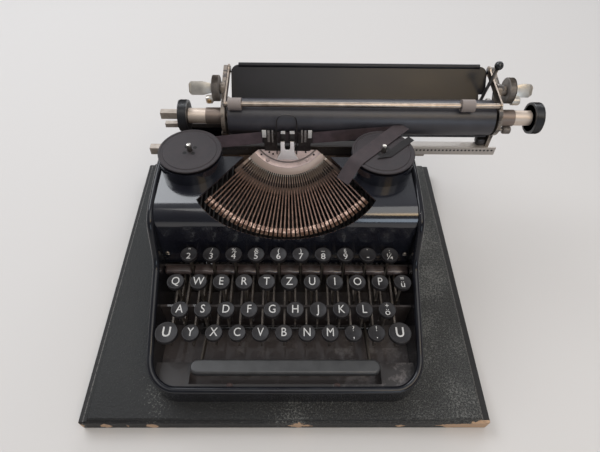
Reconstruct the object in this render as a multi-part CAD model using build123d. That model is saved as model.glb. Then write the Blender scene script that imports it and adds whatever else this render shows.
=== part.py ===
from build123d import *
import os
from math import asin, atan2, cos, degrees, radians, sin, sqrt, tan

# A four-row portable typewriter, fastened to the board that is the bottom of its case.
# Millimetres. +Z is up, the typist sits at -Y, and +X is to the typist's right.
# Heights below are measured from the top of the board. Every piece is lifted at export by the
# board's own thickness, so the origin is the centre of the board's underside.

# Key rows, which set the width of the frame
key_pitch = 18.9
key_top_r = 7.0
key_top_thickness = 3.0
shift_top_r = 9.0
row_y = (-34.4, -55.9, -77.1, -93.5)
row_z = (72.0, 63.0, 54.5, 46.0)
row_centre_x = (2.8, 2.8, -1.7, -1.5)
row_names = (
    ("2", "3", "4", "5", "6", "7", "8", "9", "dash", "quarter"),
    ("q", "w", "e", "r", "t", "z", "u", "i", "o", "p", "ue"),
    ("a", "s", "d", "f", "g", "h", "j", "k", "l", "oe"),
    ("y", "x", "c", "v", "b", "n", "m", "comma", "period"),
)
shift_left_extra = 0.4
key_side_gap = 2.6
shift_step = key_pitch * (len(row_names[3]) + 1) / 2
shift_x = (row_centre_x[3] - shift_step - shift_left_extra, row_centre_x[3] + shift_step)

# Base frame: a pressed tray with sloping side walls
frame_wall = 5.0
inner_x = shift_top_r - shift_x[0] + key_side_gap
frame_width = 2 * (inner_x + frame_wall)
frame_front = -134.0
frame_rear = 145.0
frame_pan = 3.0
frame_corner_r = 25.0
rim_line = ((-118.0, 26.0), (-91.0, 40.0), (-39.0, 64.0), (-24.0, 99.5), (-12.0, 106.5), (12.0, 110.0),
            (44.0, 110.8))
rim_round = (60.0, 90.0, 20.0, 14.0, 28.0, 90.0, 6.0)
rim_front_z = 20.0
rim_top_z = 110.8
rim_drop_y = 54.0
rim_rear_z = 72.0
shelf_z = 18.0
shelf_thickness = 2.0
seat_gap = 0.3

# Board, wider than the frame on both sides
board_side = 56.7
board_width = frame_width + 2 * board_side
board_depth = 300.0
board_slab = 14.0
board_panel = 4.0
board_ledge_x = 7.5
board_ledge_y = 2.0
board_thickness = board_slab + board_panel

# Key levers
lever_thickness = 1.5
lever_height = 7.0
lever_pivot_y = 100.0
lever_pivot_z = 45.0
lever_slope = 0.085
lever_tail = 4.0
lever_nose = 2.0
stem_depth = 3.0
fulcrum_r = 2.0
running_gap = 0.05
key_travel_deg = 4.2

# Combs that keep the key levers apart
comb_thickness = 2.0
comb_slot = 2.3
comb_rear_y = -30.0
comb_rear_top = 48.5
comb_rear_slot_z = (18.0, 43.0)
comb_front_y = -65.0
comb_front_top = 38.5
comb_front_slot_z = (12.0, 35.5)

# Shift link under the levers
shift_link_y = 80.0
shift_link_z = 32.0
shift_link_r = 2.0
shift_arm_depth = 6.0

# Space bar
space_length = 154.8
space_depth = 12.0
space_height = 6.0
space_y = -115.0
space_top_z = 30.0
space_arm_x = 70.3
space_pivot_y = -72.0
space_pivot_z = 10.0
space_rod_r = 1.5
space_hub_r = 3.5
space_post = 3.0
space_travel_deg = 8.5
space_slot_gap = 1.6

# Carriage: everything on it is placed from its own middle, which stands right of centre
carriage_x = 67.1
platen_y = 87.0
platen_z = 121.0
platen_r = 16.0
platen_length = 241.3
journal_r = 4.0
collar_r = 7.6
collar_length = 15.0
ferrule_r = 6.9
ferrule_length = 16.0
knob_r = 14.2
knob_length = 8.0
end_plate = 3.5
cheek_arm = 6.0
peg_arm = 3.8
arm_thickness = 1.5
arm_gap = 0.5
plate_x0 = platen_length / 2 + arm_gap + arm_thickness + arm_gap

# Rails. They rest on two fixed bridges, and the shift keys lift them with the carriage on them.
rail_overhang = 21.0
rail_length = frame_width + 2 * rail_overhang
rail_width = 7.0
rail_height = 8.0
rail_z = 80.0
rail_front_y = 82.0
rail_rear_y = 136.0
rail_gap = 0.3
stop_bar_y = 118.0
stop_bar_overhang = 12.5
stop_bar_length = frame_width + 2 * stop_bar_overhang
stop_bar = 5.0
runner_height = 4.7
rack_thickness = 1.6
rack_height = 9.0
rack_overhang = 7.5
bridge_height = 16.0
beam_width = 8.0
leg_depth = 10.0
leg_low_z = 56.0
rail_top = rail_z + rail_height
runner_top = rail_top + rail_gap + runner_height
bridge_top = rail_z - rail_gap

# Paper table and paper bail
table_inset = 0.35
table_length = platen_length - 2 * table_inset
table_top_y = 128.0
table_top_z = 148.0
table_low_y = 106.0
table_low_z = 122.0
table_thickness = 2.0
table_bead_r = 2.2
table_round = 7.0
table_notch = 9.0
table_notch_gap = 1.0
bail_peg_r = 3.0
bail_peg_y = 125.0
bail_peg_z = 145.0
bail_rod_r = 2.3
bail_roller_r = 5.5
bail_roller_length = 11.5
bail_roller_in_left = 7.35
bail_roller_in_right = 28.25
bail_angle = 66.0
bail_arm_width = 6.5
bail_eye = 1.5
bail_lift_deg = 65.0

# Levers at the carriage ends
lever_hub_y = 101.0
lever_hub_z = 141.0
wheel_r = 11.5
wheel_thickness = 6.5
wheel_stand_left = 1.5
wheel_stand_right = 5.0
wheel_boss_r = 5.0
wheel_stud_r = 2.5
wing_length_left = 21.5
wing_length_right = 18.0
wing_height = 12.0
wing_root = 7.5
wing_flare = 9.0
wing_round = 2.0
wing_tilt = 29.0
wing_thickness = 2.0
wing_travel_deg = 25.0
ball_r = 3.8
ball_stem_r = 1.5
ball_hub_r = 4.0
ball_hub_length = 4.0
ball_hub_y = 110.0
ball_hub_z = 121.0
ball_y = 100.0
ball_z = 167.0
ball_stud_r = 2.0
ball_lever_x = platen_length / 2 + arm_gap - seat_gap - ball_r
ball_travel_deg = 15.0

# Top cover with its type opening and spool cups
cover_thickness = 1.6
cover_low_y = -26.5
cover_low_z = 48.0
cover_knee_y = -22.2
cover_knee_z = 108.4
cover_knee_r = 16.0
cover_rear_y = 44.0
cover_rear_z = 110.4
smile_r = 96.0
smile_end_y = -5.5
flank_x = 38.0
flank_y = 45.0
cup_r = 27.0
cup_bite = 1.5
spool_x = inner_x + cup_bite - cup_r
spool_y = 36.2
cup_floor_z = 104.0
cup_top_z = 121.0
cup_exit = 12.0
cup_relief = 0.5
spool_post_r = 2.0
spool_post_z = 131.0

# Ribbon, spools and vibrator
spool_flange_r = 26.9
spool_low_r = 24.5
spool_roll_r = 19.0
spool_low_z = 106.0
spool_top_z = 125.0
flange_thickness = 1.5
ribbon_width = 13.0
ribbon_thickness = 0.5
ribbon_low_z = 104.0
ribbon_spool_z = 109.0
ribbon_y = 69.3
ribbon_clear = 0.6
ribbon_turn_x = 104.0
slack_run = 65.5
slack_fall = 14.5
slack_low_z = 112.0
slack_turn_deg = 224.5
vibrator_half = 21.5
vibrator_gap = 10.0
vibrator_front_y = 67.0
vibrator_plate = 1.5
vibrator_prong_y = 70.1
vibrator_prong = 0.5
vibrator_low_z = 96.4
vibrator_bar = 3.0
vibrator_top_z = 117.0
vibrator_stem_x = 12.0
vibrator_stem_y = 70.2
vibrator_stem_r = 1.25
vibrator_stem_low_z = 82.0
vibrator_lift = 9.0

# Type basket. The typebars stand on a cone about a tilted axis through the printing point.
basket_tilt = 50.2
print_angle = 12.0
typebar_count = 40
fan_half_deg = 46.4
typebar_length = 65.7
pivot_depth = 20.2
typebar_swing_deg = 100.2
typebar_thickness = 1.0
typebar_heel = 2.4
typebar_tip = 1.7
slug_width = 2.4
slug_length = 6.0
slug_half = 2.2
wire_r = 0.8
segment_face = 16.8
segment_thickness = 8.0
segment_outer = 4.0
segment_slot = 1.5
segment_solid_r = 46.0
segment_chord = 23.5
segment_side_deg = 50.0
guide_y = 62.6
guide_thickness = 1.5
guide_top_z = 111.0
guide_notch = 4.8
guide_prong = 3.8
guide_notch_z = 99.0
guide_foot_half = 10.0
guide_foot_z = 90.5
guide_tail = 14.0
bracket_x = 20.0
bracket_width = 14.0
bracket_edge = 4.0
moving_bar = typebar_count // 2 - 1

print_y = platen_y - platen_r * cos(radians(print_angle))
print_z = platen_z + platen_r * sin(radians(print_angle))
pivot_r = sqrt(typebar_length**2 - pivot_depth**2)
strike_deg = degrees(atan2(pivot_depth, -pivot_r))
rest_deg = strike_deg - typebar_swing_deg


def block(x0, x1, y0, y1, z0, z1):
    """A box between two opposite corners."""
    return Pos((x0 + x1) / 2, (y0 + y1) / 2, (z0 + z1) / 2) * Box(x1 - x0, y1 - y0, z1 - z0)


def rod_x(x0, x1, y, z, r):
    """A round bar along X."""
    return Pos((x0 + x1) / 2, y, z) * Rot(0, 90, 0) * Cylinder(r, x1 - x0)


def rod_z(x, y, z0, z1, r):
    """A round bar along Z."""
    return Pos(x, y, (z0 + z1) / 2) * Cylinder(r, z1 - z0)


def side_plate(points, x0, x1):
    """A flat plate from x0 to x1, cut to an outline of (y, z) points."""
    face = make_face(Plane.YZ * Polyline(*points, close=True))
    return Pos(x0, 0, 0) * extrude(face, x1 - x0, dir=(1, 0, 0))


def round_bar(start, end, r):
    """A round bar from one point to another."""
    return Solid.make_cylinder(r, (Vector(end) - Vector(start)).length,
                               Plane(origin=start, z_dir=Vector(end) - Vector(start)))


def one(shape):
    """The single solid of a boolean result."""
    return shape.solids()[0]


def lever_line(y):
    """Height of a key lever's middle line at y."""
    return lever_pivot_z - (lever_pivot_y - y) * lever_slope


def lever_bar(x, nose_y):
    """A key lever on edge, with its hole for the fulcrum rod."""
    half = lever_height / 2
    tail_y = lever_pivot_y + lever_tail
    outline = [(tail_y, lever_line(tail_y) - half), (tail_y, lever_line(tail_y) + half),
               (nose_y, lever_line(nose_y) + half), (nose_y, lever_line(nose_y) - half)]
    bar = side_plate(outline, x - lever_thickness / 2, x + lever_thickness / 2)
    hole = rod_x(x - lever_thickness, x + lever_thickness, lever_pivot_y, lever_pivot_z,
                 fulcrum_r + running_gap)
    return one(bar - hole)


def key_solids(x, y, z, top_r):
    """A round key top, its stem and its lever, touching face to face."""
    low = z - key_top_thickness
    top = rod_z(x, y, low, z, top_r)
    lever_top = lever_height / 2
    outline = [(y - stem_depth / 2, lever_line(y - stem_depth / 2) + lever_top),
               (y + stem_depth / 2, lever_line(y + stem_depth / 2) + lever_top),
               (y + stem_depth / 2, low), (y - stem_depth / 2, low)]
    stem = side_plate(outline, x - lever_thickness / 2, x + lever_thickness / 2)
    return [top, stem, lever_bar(x, y - lever_nose)]


def row_keys():
    """Name, x, row for every typing key."""
    keys = []
    for row, names in enumerate(row_names):
        first = row_centre_x[row] - key_pitch * (len(names) - 1) / 2
        for place, name in enumerate(names):
            keys.append((name, first + key_pitch * place, row))
    return keys


def case_board():
    slab = block(-board_width / 2, board_width / 2, -board_depth / 2, board_depth / 2,
                 -board_thickness, -board_panel)
    panel_x = board_width / 2 - board_ledge_x
    panel_y = board_depth / 2 - board_ledge_y
    panel = block(-panel_x, panel_x, -panel_y, panel_y, -board_panel, 0)
    return [one(slab + panel)]


def rim_plate():
    """The frame seen from the side: the low rear, and the rim whose corners are rounded one by one."""
    rim = FilletPolyline((frame_front, rim_front_z), *rim_line, (rim_drop_y, rim_rear_z), radius=rim_round)
    rest = Polyline((rim_drop_y, rim_rear_z), (frame_rear, rim_rear_z), (frame_rear, 0), (frame_front, 0),
                    (frame_front, rim_front_z))
    face = make_face(Plane.YZ * (rim + rest))
    return Pos(-frame_width / 2, 0, 0) * extrude(face, frame_width, dir=(1, 0, 0))


def plan_prism(half_x, front_y, rear_y, corner_r, z0, z1):
    """A plan outline with two round front corners, from z0 to z1."""
    bottom = block(-half_x, half_x, front_y, rear_y, z0, z1)
    corners = bottom.edges().filter_by(Axis.Z).group_by(Axis.Y)[0]
    return fillet(corners, corner_r)


def space_slot_y():
    """Front and rear edge of the shelf's opening for the space bar."""
    swing = (space_top_z - space_pivot_z) * sin(radians(space_travel_deg))
    front = space_y - space_depth / 2 - swing - space_slot_gap
    return front, space_y + space_depth / 2 + space_slot_gap


def base_frame():
    outer = plan_prism(frame_width / 2, frame_front, frame_rear, frame_corner_r, 0, rim_top_z)
    inner = plan_prism(inner_x, frame_front + frame_wall, frame_rear - frame_wall,
                       frame_corner_r - frame_wall, frame_pan, rim_top_z + 1)
    shell = (outer & rim_plate()) - inner
    for side in (-1, 1):
        shell -= rod_z(side * spool_x, spool_y, cup_floor_z - 1, rim_top_z + 1, cup_r + cup_relief)
    slot_front, slot_rear = space_slot_y()
    shelf = plan_prism(inner_x, frame_front + frame_wall, slot_rear, frame_corner_r - frame_wall,
                       shelf_z - shelf_thickness, shelf_z)
    slot_half = space_length / 2 + space_slot_gap
    shelf -= block(-slot_half, slot_half, slot_front, slot_rear + 1, 0, shelf_z + 1)
    posts = []
    for side in (-1, 1):
        near = side * (space_arm_x + lever_thickness / 2 + space_post)
        far = near + side * space_post
        posts.append(block(min(near, far), max(near, far), space_pivot_y - space_post,
                           space_pivot_y + space_post, 0, space_pivot_z + space_post))
    tray = one(shell + shelf + posts[0] + posts[1])
    rear_y1 = rail_rear_y + rail_width / 2
    rear_bridge = block(-inner_x, inner_x, rear_y1 - rail_width, rear_y1, rail_z - bridge_height, bridge_top)
    fulcrum = rod_x(-inner_x, inner_x, lever_pivot_y, lever_pivot_z, fulcrum_r)
    all_lanes = [x for name, x, row in row_keys()] + list(shift_x)
    front_lanes = [x for name, x, row in row_keys() if row > 1] + list(shift_x)
    rear_comb = comb(comb_rear_y, comb_rear_top, comb_rear_slot_z, all_lanes)
    front_comb = comb(comb_front_y, comb_front_top, comb_front_slot_z, front_lanes)
    post_x = space_arm_x + lever_thickness / 2 + space_post
    space_rod = rod_x(-post_x, post_x, space_pivot_y, space_pivot_z, space_rod_r)
    return [tray, rear_bridge, fulcrum, rear_comb, front_comb, space_rod]


def cover_section(drop):
    """The cover's bent line from the front edge to the rear, moved inwards by drop."""
    lean = atan2(cover_knee_z - cover_low_z, cover_knee_y - cover_low_y)
    rise = atan2(cover_rear_z - cover_knee_z, cover_rear_y - cover_knee_y)
    low = (cover_low_y + drop * sin(lean), cover_low_z - drop * cos(lean))
    rear = (cover_rear_y + drop * sin(rise), cover_rear_z - drop * cos(rise))
    half_turn = (lean - rise) / 2
    reach = drop / cos(half_turn)
    middle = (lean + rise) / 2
    knee = (cover_knee_y + reach * sin(middle), cover_knee_z - reach * cos(middle))
    return FilletPolyline(low, knee, rear, radius=cover_knee_r - drop)


def spool_cup(side):
    """A round cup with a floor, and a gap where the ribbon leaves it."""
    x = side * spool_x
    cup = rod_z(x, spool_y, cup_floor_z, cup_top_z, cup_r)
    cup -= rod_z(x, spool_y, cup_floor_z + cover_thickness, cup_top_z + 1, cup_r - cover_thickness)
    exit_z = cup_floor_z + 2 * cover_thickness
    gap = block(0, cup_r + 1, 0, cup_exit, exit_z, cup_top_z + 1)
    turn = Rot(0, 0, 35) if side < 0 else Rot(0, 0, 145 - degrees(asin(cup_exit / cup_r)))
    return one(cup - Pos(x, spool_y, 0) * turn * gap)


def smile_cut():
    """The part of a round bar about the basket's axis that opens the cover's front above the slugs."""
    plane = fan_plane(0)
    far = Plane(origin=plane.from_local_coords((0, 0, 0)), x_dir=plane.x_dir, z_dir=plane.y_dir)
    bar = Solid.make_cylinder(smile_r, 2 * smile_r, far)
    return bar & block(-frame_width, frame_width, frame_front, smile_end_y, 0, 2 * rim_top_z)


def smile_tip_x():
    """Half the width of the opening where its front arc meets its flanks."""
    plane = fan_plane(0)
    level = cover_knee_z
    tip = plane.to_local_coords(Vector(0, smile_end_y, level))
    return sqrt(smile_r**2 - tip.X**2)


def top_cover():
    half = inner_x - seat_gap
    outer = cover_section(0)
    inner = cover_section(cover_thickness)
    outline = outer + inner + Line(outer @ 0, inner @ 0) + Line(outer @ 1, inner @ 1)
    sheet = Pos(-half, 0, 0) * extrude(make_face(Plane.YZ * outline), 2 * half, dir=(1, 0, 0))
    sheet -= smile_cut()
    tip_x = smile_tip_x()
    back_y = cover_rear_y + cup_r
    flanks = Polyline((tip_x, smile_end_y), (flank_x, flank_y), (flank_x, back_y), (-flank_x, back_y),
                      (-flank_x, flank_y), (-tip_x, smile_end_y), close=True)
    sheet -= extrude(make_face(flanks), cover_rear_z + 1, dir=(0, 0, 1))
    solids = []
    for side in (-1, 1):
        sheet -= rod_z(side * spool_x, spool_y, cover_low_z, cup_top_z, cup_r)
        solids.append(spool_cup(side))
        post_low = cup_floor_z + cover_thickness
        solids.append(rod_z(side * spool_x, spool_y, post_low, spool_post_z, spool_post_r))
    return list(sheet.solids()) + solids


def spool(side):
    """A ribbon spool: two flanges and the wound roll between them, bored for the post."""
    x = side * spool_x
    low_top = spool_low_z + flange_thickness
    high_low = spool_top_z - flange_thickness
    solids = []
    for z0, z1, r in ((spool_low_z, low_top, spool_low_r), (low_top, high_low, spool_roll_r),
                      (high_low, spool_top_z, spool_flange_r)):
        bore = rod_z(x, spool_y, z0 - 1, z1 + 1, spool_post_r + running_gap)
        solids.append(one(rod_z(x, spool_y, z0, z1, r) - bore))
    return solids


def ribbon_panel(start, start_z, end, end_z):
    """A stretch of ribbon on edge between two (x, y) points, with the height of its lower edge at each."""
    low = Vector(start[0], start[1], start_z)
    far = Vector(end[0], end[1], end_z)
    rise = Vector(0, 0, ribbon_width)
    face = make_face(Polyline(low, far, far + rise, low + rise, close=True))
    return extrude(face, ribbon_thickness / 2, both=True)


def ribbon():
    """The ribbon: left run, the stretch through the vibrator, right run, and the slack strip on top."""
    reach = spool_roll_r + ribbon_clear
    left = (-spool_x + reach * cos(radians(70)), spool_y + reach * sin(radians(70)))
    near = vibrator_half + 2
    lift = spool_top_z + ribbon_clear
    band = ribbon_panel(left, ribbon_spool_z, (-near, ribbon_y), ribbon_low_z)
    lap = ribbon_thickness / 4
    band += ribbon_panel((-near - lap, ribbon_y), ribbon_low_z, (near, ribbon_y), ribbon_low_z)
    band += ribbon_panel((near - lap, ribbon_y), ribbon_low_z, (ribbon_turn_x, ribbon_y), lift - ribbon_width)
    top = Plane(origin=(ribbon_turn_x, ribbon_y, 0), x_dir=Vector(1, 0, 0).rotate(Axis.Z, slack_turn_deg),
                z_dir=Vector(0, 1, 0).rotate(Axis.Z, slack_turn_deg))
    half = ribbon_thickness / 2
    drop = lift - slack_low_z
    end = slack_run + slack_fall
    lean = atan2(drop, slack_fall)
    outline = [(-ribbon_width, lift - half), (-ribbon_width, lift + half), (slack_run, lift + half),
               (end + half * sin(lean), slack_low_z + half * cos(lean)),
               (end - half * sin(lean), slack_low_z - half * cos(lean)), (slack_run, lift - half)]
    sign = -1 if top.y_dir.Z < 0 else 1
    strip = make_face(top * Polyline(*[(u, sign * w) for u, w in outline], close=True))
    strip = extrude(strip, ribbon_width / 2, both=True)
    behind = block(-frame_width, frame_width, ribbon_y + half, frame_rear, 0, 2 * rim_top_z)
    band += strip - behind
    return [one(band)]


def ribbon_vibrator():
    low = vibrator_low_z
    bar_top = low + vibrator_bar
    back = vibrator_prong_y + vibrator_prong
    solids = [block(-vibrator_half, vibrator_half, vibrator_front_y, back, low, bar_top)]
    for side in (-1, 1):
        near = side * vibrator_gap
        far = side * vibrator_half
        x0 = min(near, far)
        x1 = max(near, far)
        solids.append(block(x0, x1, vibrator_front_y, vibrator_front_y + vibrator_plate,
                            bar_top, vibrator_top_z))
        solids.append(block(x0, x1, vibrator_prong_y, back, bar_top, vibrator_top_z))
        solids.append(rod_z(side * vibrator_stem_x, vibrator_stem_y, vibrator_stem_low_z, low,
                            vibrator_stem_r))
    return solids


def fan_plane(angle):
    """Plane of one typebar: x away from the basket's axis, y along the axis, through the print point."""
    tilt = radians(basket_tilt)
    turn = radians(angle)
    outward = Vector(sin(turn), -cos(tilt) * cos(turn), -sin(tilt) * cos(turn))
    along = Vector(0, -sin(tilt), cos(tilt))
    return Plane(origin=(0, print_y, print_z), x_dir=outward, z_dir=outward.cross(along))


def fan_step():
    return 2 * fan_half_deg / (typebar_count - 1)


def typebar_solid(index):
    """One typebar at rest: a tapered strip with a slug, hung on the fulcrum wire."""
    plane = fan_plane(-fan_half_deg + fan_step() * index)
    bar = plane * Pos(pivot_r, -pivot_depth) * Rot(0, 0, rest_deg)
    half = typebar_thickness / 2
    tip = typebar_length - slug_length
    strip = make_face(Polyline((0, -typebar_heel), (0, typebar_heel), (tip, typebar_tip),
                               (tip, -typebar_tip), close=True))
    strip = extrude(strip, half, both=True) + Cylinder(typebar_heel, typebar_thickness)
    strip -= Cylinder(wire_r + running_gap, typebar_thickness + 1)
    slug = Pos(typebar_length - slug_length / 2, 0, 0) * Box(slug_length, 2 * slug_half, slug_width)
    return one(bar * (strip + slug))


def type_segment():
    """The slotted half-ring that carries the typebars, its fulcrum wire and the type guide."""
    plane = fan_plane(0)
    outer = pivot_r + segment_outer
    face_y = -segment_face - segment_thickness
    disc = Plane(origin=plane.from_local_coords((0, face_y, 0)), x_dir=plane.x_dir, z_dir=plane.y_dir)
    side = radians(segment_side_deg)
    reach = outer / cos(side)
    chord_half = segment_chord * tan(side)
    edge_half = reach * sin(side)
    wedge = make_face(Polyline((segment_chord, -chord_half), (outer, -edge_half), (outer + 1, -edge_half),
                               (outer + 1, edge_half), (outer, edge_half), (segment_chord, chord_half),
                               close=True))
    ring = extrude(disc * (make_face(Circle(outer).edge()) & wedge), segment_thickness, dir=plane.y_dir)
    slots = []
    for index in range(typebar_count):
        bar_plane = fan_plane(-fan_half_deg + fan_step() * index)
        depth = 2 * segment_thickness
        length = outer + 1 - segment_solid_r
        slot = Pos(segment_solid_r + length / 2, face_y + segment_thickness / 2, 0)
        slots.append(bar_plane * slot * Box(length, depth, segment_slot))
    body = ring - slots
    arc = CenterArc((0, 0), pivot_r, -fan_half_deg - fan_step() / 2, 2 * fan_half_deg + fan_step())
    wire_middle = plane.from_local_coords((0, -pivot_depth, 0))
    wire_plane = Plane(origin=wire_middle, x_dir=plane.x_dir, z_dir=plane.y_dir)
    path = wire_plane * arc
    wire = sweep(Plane(origin=path @ 0, z_dir=path % 0) * Circle(wire_r), path)
    body = body + wire
    neck = guide_notch / 2 + guide_prong
    guide_low = guide_notch_z - guide_tail
    foot = guide_foot_half
    outline = Polyline((-foot, guide_low), (foot, guide_low), (foot, guide_foot_z), (neck, guide_notch_z),
                       (-neck, guide_notch_z), (-foot, guide_foot_z), close=True)
    guide = Pos(0, guide_y, 0) * extrude(make_face(Plane.XZ * outline), guide_thickness, dir=(0, 1, 0))
    for side_sign in (-1, 1):
        near = side_sign * guide_notch / 2
        far = near + side_sign * guide_prong
        guide += block(min(near, far), max(near, far), guide_y, guide_y + guide_thickness,
                       guide_notch_z, guide_top_z)
    body = body + guide
    for stem_side in (-1, 1):
        body -= rod_z(stem_side * vibrator_stem_x, vibrator_stem_y, 0, vibrator_low_z,
                      vibrator_stem_r + running_gap)
    front_y0 = rail_front_y - rail_width / 2
    bridge = block(-inner_x, inner_x, front_y0, front_y0 + 2 * rail_width, rail_z - bridge_height, bridge_top)
    return [one(body), bridge, segment_bracket(-1), segment_bracket(1)]


def typebars():
    return [typebar_solid(index) for index in range(typebar_count) if index != moving_bar]


def comb(y, top_z, slot_z, lanes):
    """A plate with an upright window for each lever, which keeps the levers in their lanes."""
    plate = block(-inner_x, inner_x, y - comb_thickness / 2, y + comb_thickness / 2, frame_pan, top_z)
    cuts = []
    for x in lanes:
        half = comb_slot / 2
        cuts.append(block(x - half, x + half, y - comb_thickness, y + comb_thickness, *slot_z))
    return one(plate - cuts)


def segment_bracket(side):
    """A rib behind the segment that ties it to the front bridge."""
    plane = fan_plane(0)
    back = -segment_face - segment_thickness
    high = plane.from_local_coords((segment_chord + bracket_edge, back, 0))
    low = plane.from_local_coords((segment_solid_r - bracket_edge, back, 0))
    rear_y = rail_front_y - rail_width / 2
    outline = [(low.Y, low.Z), (high.Y, high.Z), (rear_y, bridge_top), (rear_y, rail_z - bridge_height),
               (low.Y, rail_z - bridge_height)]
    return side_plate(outline, *along(side, bracket_x, bracket_width))


def carriage_rails():
    """Two rails and a stop bar on two beams, with legs that slide inside the side walls."""
    half = rail_width / 2
    front_y1 = rail_front_y + half
    rear_y0 = rail_rear_y - half
    middle = (front_y1 + rear_y0) / 2
    out = inner_x - seat_gap
    solids = []
    for y in (rail_front_y, rail_rear_y):
        solids.append(block(-rail_length / 2, rail_length / 2, y - half, y + half, rail_z, rail_top))
    for side in (-1, 1):
        x0, x1 = along(side, out - beam_width, beam_width)
        solids.append(block(x0, x1, front_y1, rear_y0, rail_z, rail_top - stop_bar))
        solids.append(block(x0, x1, middle, middle + leg_depth, leg_low_z, rail_z))
    solids.append(block(-stop_bar_length / 2, stop_bar_length / 2, stop_bar_y - stop_bar / 2,
                        stop_bar_y + stop_bar / 2, rail_top - stop_bar, rail_top))
    return solids


def shift_frame():
    """Both shift keys, joined by a rod under the typing levers so that they move as one."""
    solids = []
    half_arm = shift_arm_depth / 2
    half_lever = lever_height / 2
    for x in shift_x:
        solids += key_solids(x, row_y[3], row_z[3], shift_top_r)
        front = shift_link_y - half_arm
        rear = shift_link_y + half_arm
        outline = [(front, shift_link_z - half_arm), (rear, shift_link_z - half_arm),
                   (rear, lever_line(rear) - half_lever), (front, lever_line(front) - half_lever)]
        solids.append(side_plate(outline, x - lever_thickness / 2, x + lever_thickness / 2))
    solids.append(rod_x(shift_x[0] + lever_thickness / 2, shift_x[1] - lever_thickness / 2,
                        shift_link_y, shift_link_z, shift_link_r))
    return solids


def space_bar():
    low = space_top_z - space_height
    bar = extrude(SlotOverall(space_length, space_depth), space_height)
    bar = fillet(bar.edges().group_by(Axis.Z)[-1], space_height / 3)
    solids = [Pos(0, space_y, low) * bar]
    quarter = space_depth / 4
    outline = [(space_y - quarter, low), (space_y + quarter, low),
               (space_pivot_y + space_hub_r, space_pivot_z + space_hub_r),
               (space_pivot_y + space_hub_r, space_pivot_z - space_hub_r),
               (space_pivot_y - space_hub_r, space_pivot_z - space_hub_r),
               (space_y - quarter, low - space_height)]
    for x in (-space_arm_x, space_arm_x):
        arm = side_plate(outline, x - lever_thickness / 2, x + lever_thickness / 2)
        solids.append(one(arm - rod_x(x - lever_thickness, x + lever_thickness, space_pivot_y, space_pivot_z,
                                      space_rod_r + running_gap)))
    return solids


def bail_rod_place():
    """Where the bail rod lies: its rollers just clear of the platen."""
    reach = platen_r + bail_roller_r + seat_gap
    return (platen_y - reach * cos(radians(bail_angle)), platen_z + reach * sin(radians(bail_angle)))


def on_carriage(solids):
    """Solids drawn about the carriage's own middle, put where the carriage stands."""
    return [Pos(carriage_x, 0, 0) * solid for solid in solids]


def strap(start, end, half_width, x0, x1):
    """A flat bar with round ends between two (y, z) points, from x0 to x1."""
    lean = atan2(end[1] - start[1], end[0] - start[0])
    shift_y = half_width * sin(lean)
    shift_z = half_width * cos(lean)
    outline = [(start[0] - shift_y, start[1] + shift_z), (start[0] + shift_y, start[1] - shift_z),
               (end[0] + shift_y, end[1] - shift_z), (end[0] - shift_y, end[1] + shift_z)]
    bar = side_plate(outline, x0, x1) + rod_x(x0, x1, *start, half_width)
    return bar + rod_x(x0, x1, *end, half_width)


def end_plate_solid(side):
    """One open end frame: a round cheek at the platen, a foot on the runners and an arm to the peg."""
    front_y = rail_front_y - rail_width / 2
    rear_y = rail_rear_y + rail_width / 2
    x0, x1 = along(side, plate_x0, end_plate)
    foot_z = runner_top + 2 * bail_peg_r
    peg = (bail_peg_y, bail_peg_z)
    hub = (lever_hub_y, lever_hub_z)
    plate = block(x0, x1, front_y, rear_y, runner_top, foot_z)
    plate += block(x0, x1, front_y, platen_y + platen_r / 2, runner_top, platen_z)
    plate += rod_x(x0, x1, platen_y, platen_z, platen_r)
    plate += strap((platen_y, platen_z), hub, cheek_arm, x0, x1)
    plate += strap((platen_y, platen_z), (ball_hub_y, ball_hub_z), peg_arm, x0, x1)
    plate += strap(hub, peg, peg_arm, x0, x1)
    return one(plate - rod_x(x0 - 1, x1 + 1, platen_y, platen_z, journal_r + running_gap))


def along(side, start, length):
    """Low and high x of a stretch that starts at a distance from the middle and runs outwards."""
    return tuple(sorted((side * start, side * (start + length))))


def carriage_frame():
    """End plates, runners, escapement rack, bail pegs and the studs that the levers turn on."""
    solids = []
    plate_out = plate_x0 + end_plate
    for side in (-1, 1):
        solids.append(end_plate_solid(side))
        solids.append(rod_x(*along(side, table_length / 2, plate_x0 - table_length / 2),
                            bail_peg_y, bail_peg_z, bail_peg_r))
        wheel_stand = wheel_stand_left if side < 0 else wheel_stand_right
        solids.append(rod_x(*along(side, plate_out, wheel_stand), lever_hub_y, lever_hub_z, wheel_boss_r))
        solids.append(rod_x(*along(side, plate_out + wheel_stand, wheel_thickness), lever_hub_y, lever_hub_z,
                            wheel_stud_r))
    half = rail_width / 2
    low = rail_top + rail_gap
    for y in (rail_front_y, rail_rear_y):
        solids.append(block(-plate_out, plate_out, y - half, y + half, low, runner_top))
    rack_y = rail_front_y - half
    rack_end = plate_out + rack_overhang
    solids.append(block(-rack_end, rack_end, rack_y - rack_thickness, rack_y, runner_top - rack_height,
                        runner_top))
    ball_far = ball_lever_x - ball_hub_length / 2
    solids.append(rod_x(ball_far, plate_x0, ball_hub_y, ball_hub_z, ball_stud_r))
    return on_carriage(solids)


def platen():
    """Rubber roller, journals, collars, ferrules and knobs on one line."""
    roller = platen_length / 2
    solids = [rod_x(-roller, roller, platen_y, platen_z, platen_r)]
    plate_out = plate_x0 + end_plate
    for side in (-1, 1):
        place = roller
        for length, r in ((plate_out + seat_gap - roller, journal_r), (collar_length, collar_r),
                          (ferrule_length, ferrule_r), (knob_length, knob_r)):
            solids.append(rod_x(*along(side, place, length), platen_y, platen_z, r))
            place += length
    return on_carriage(solids)


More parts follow.
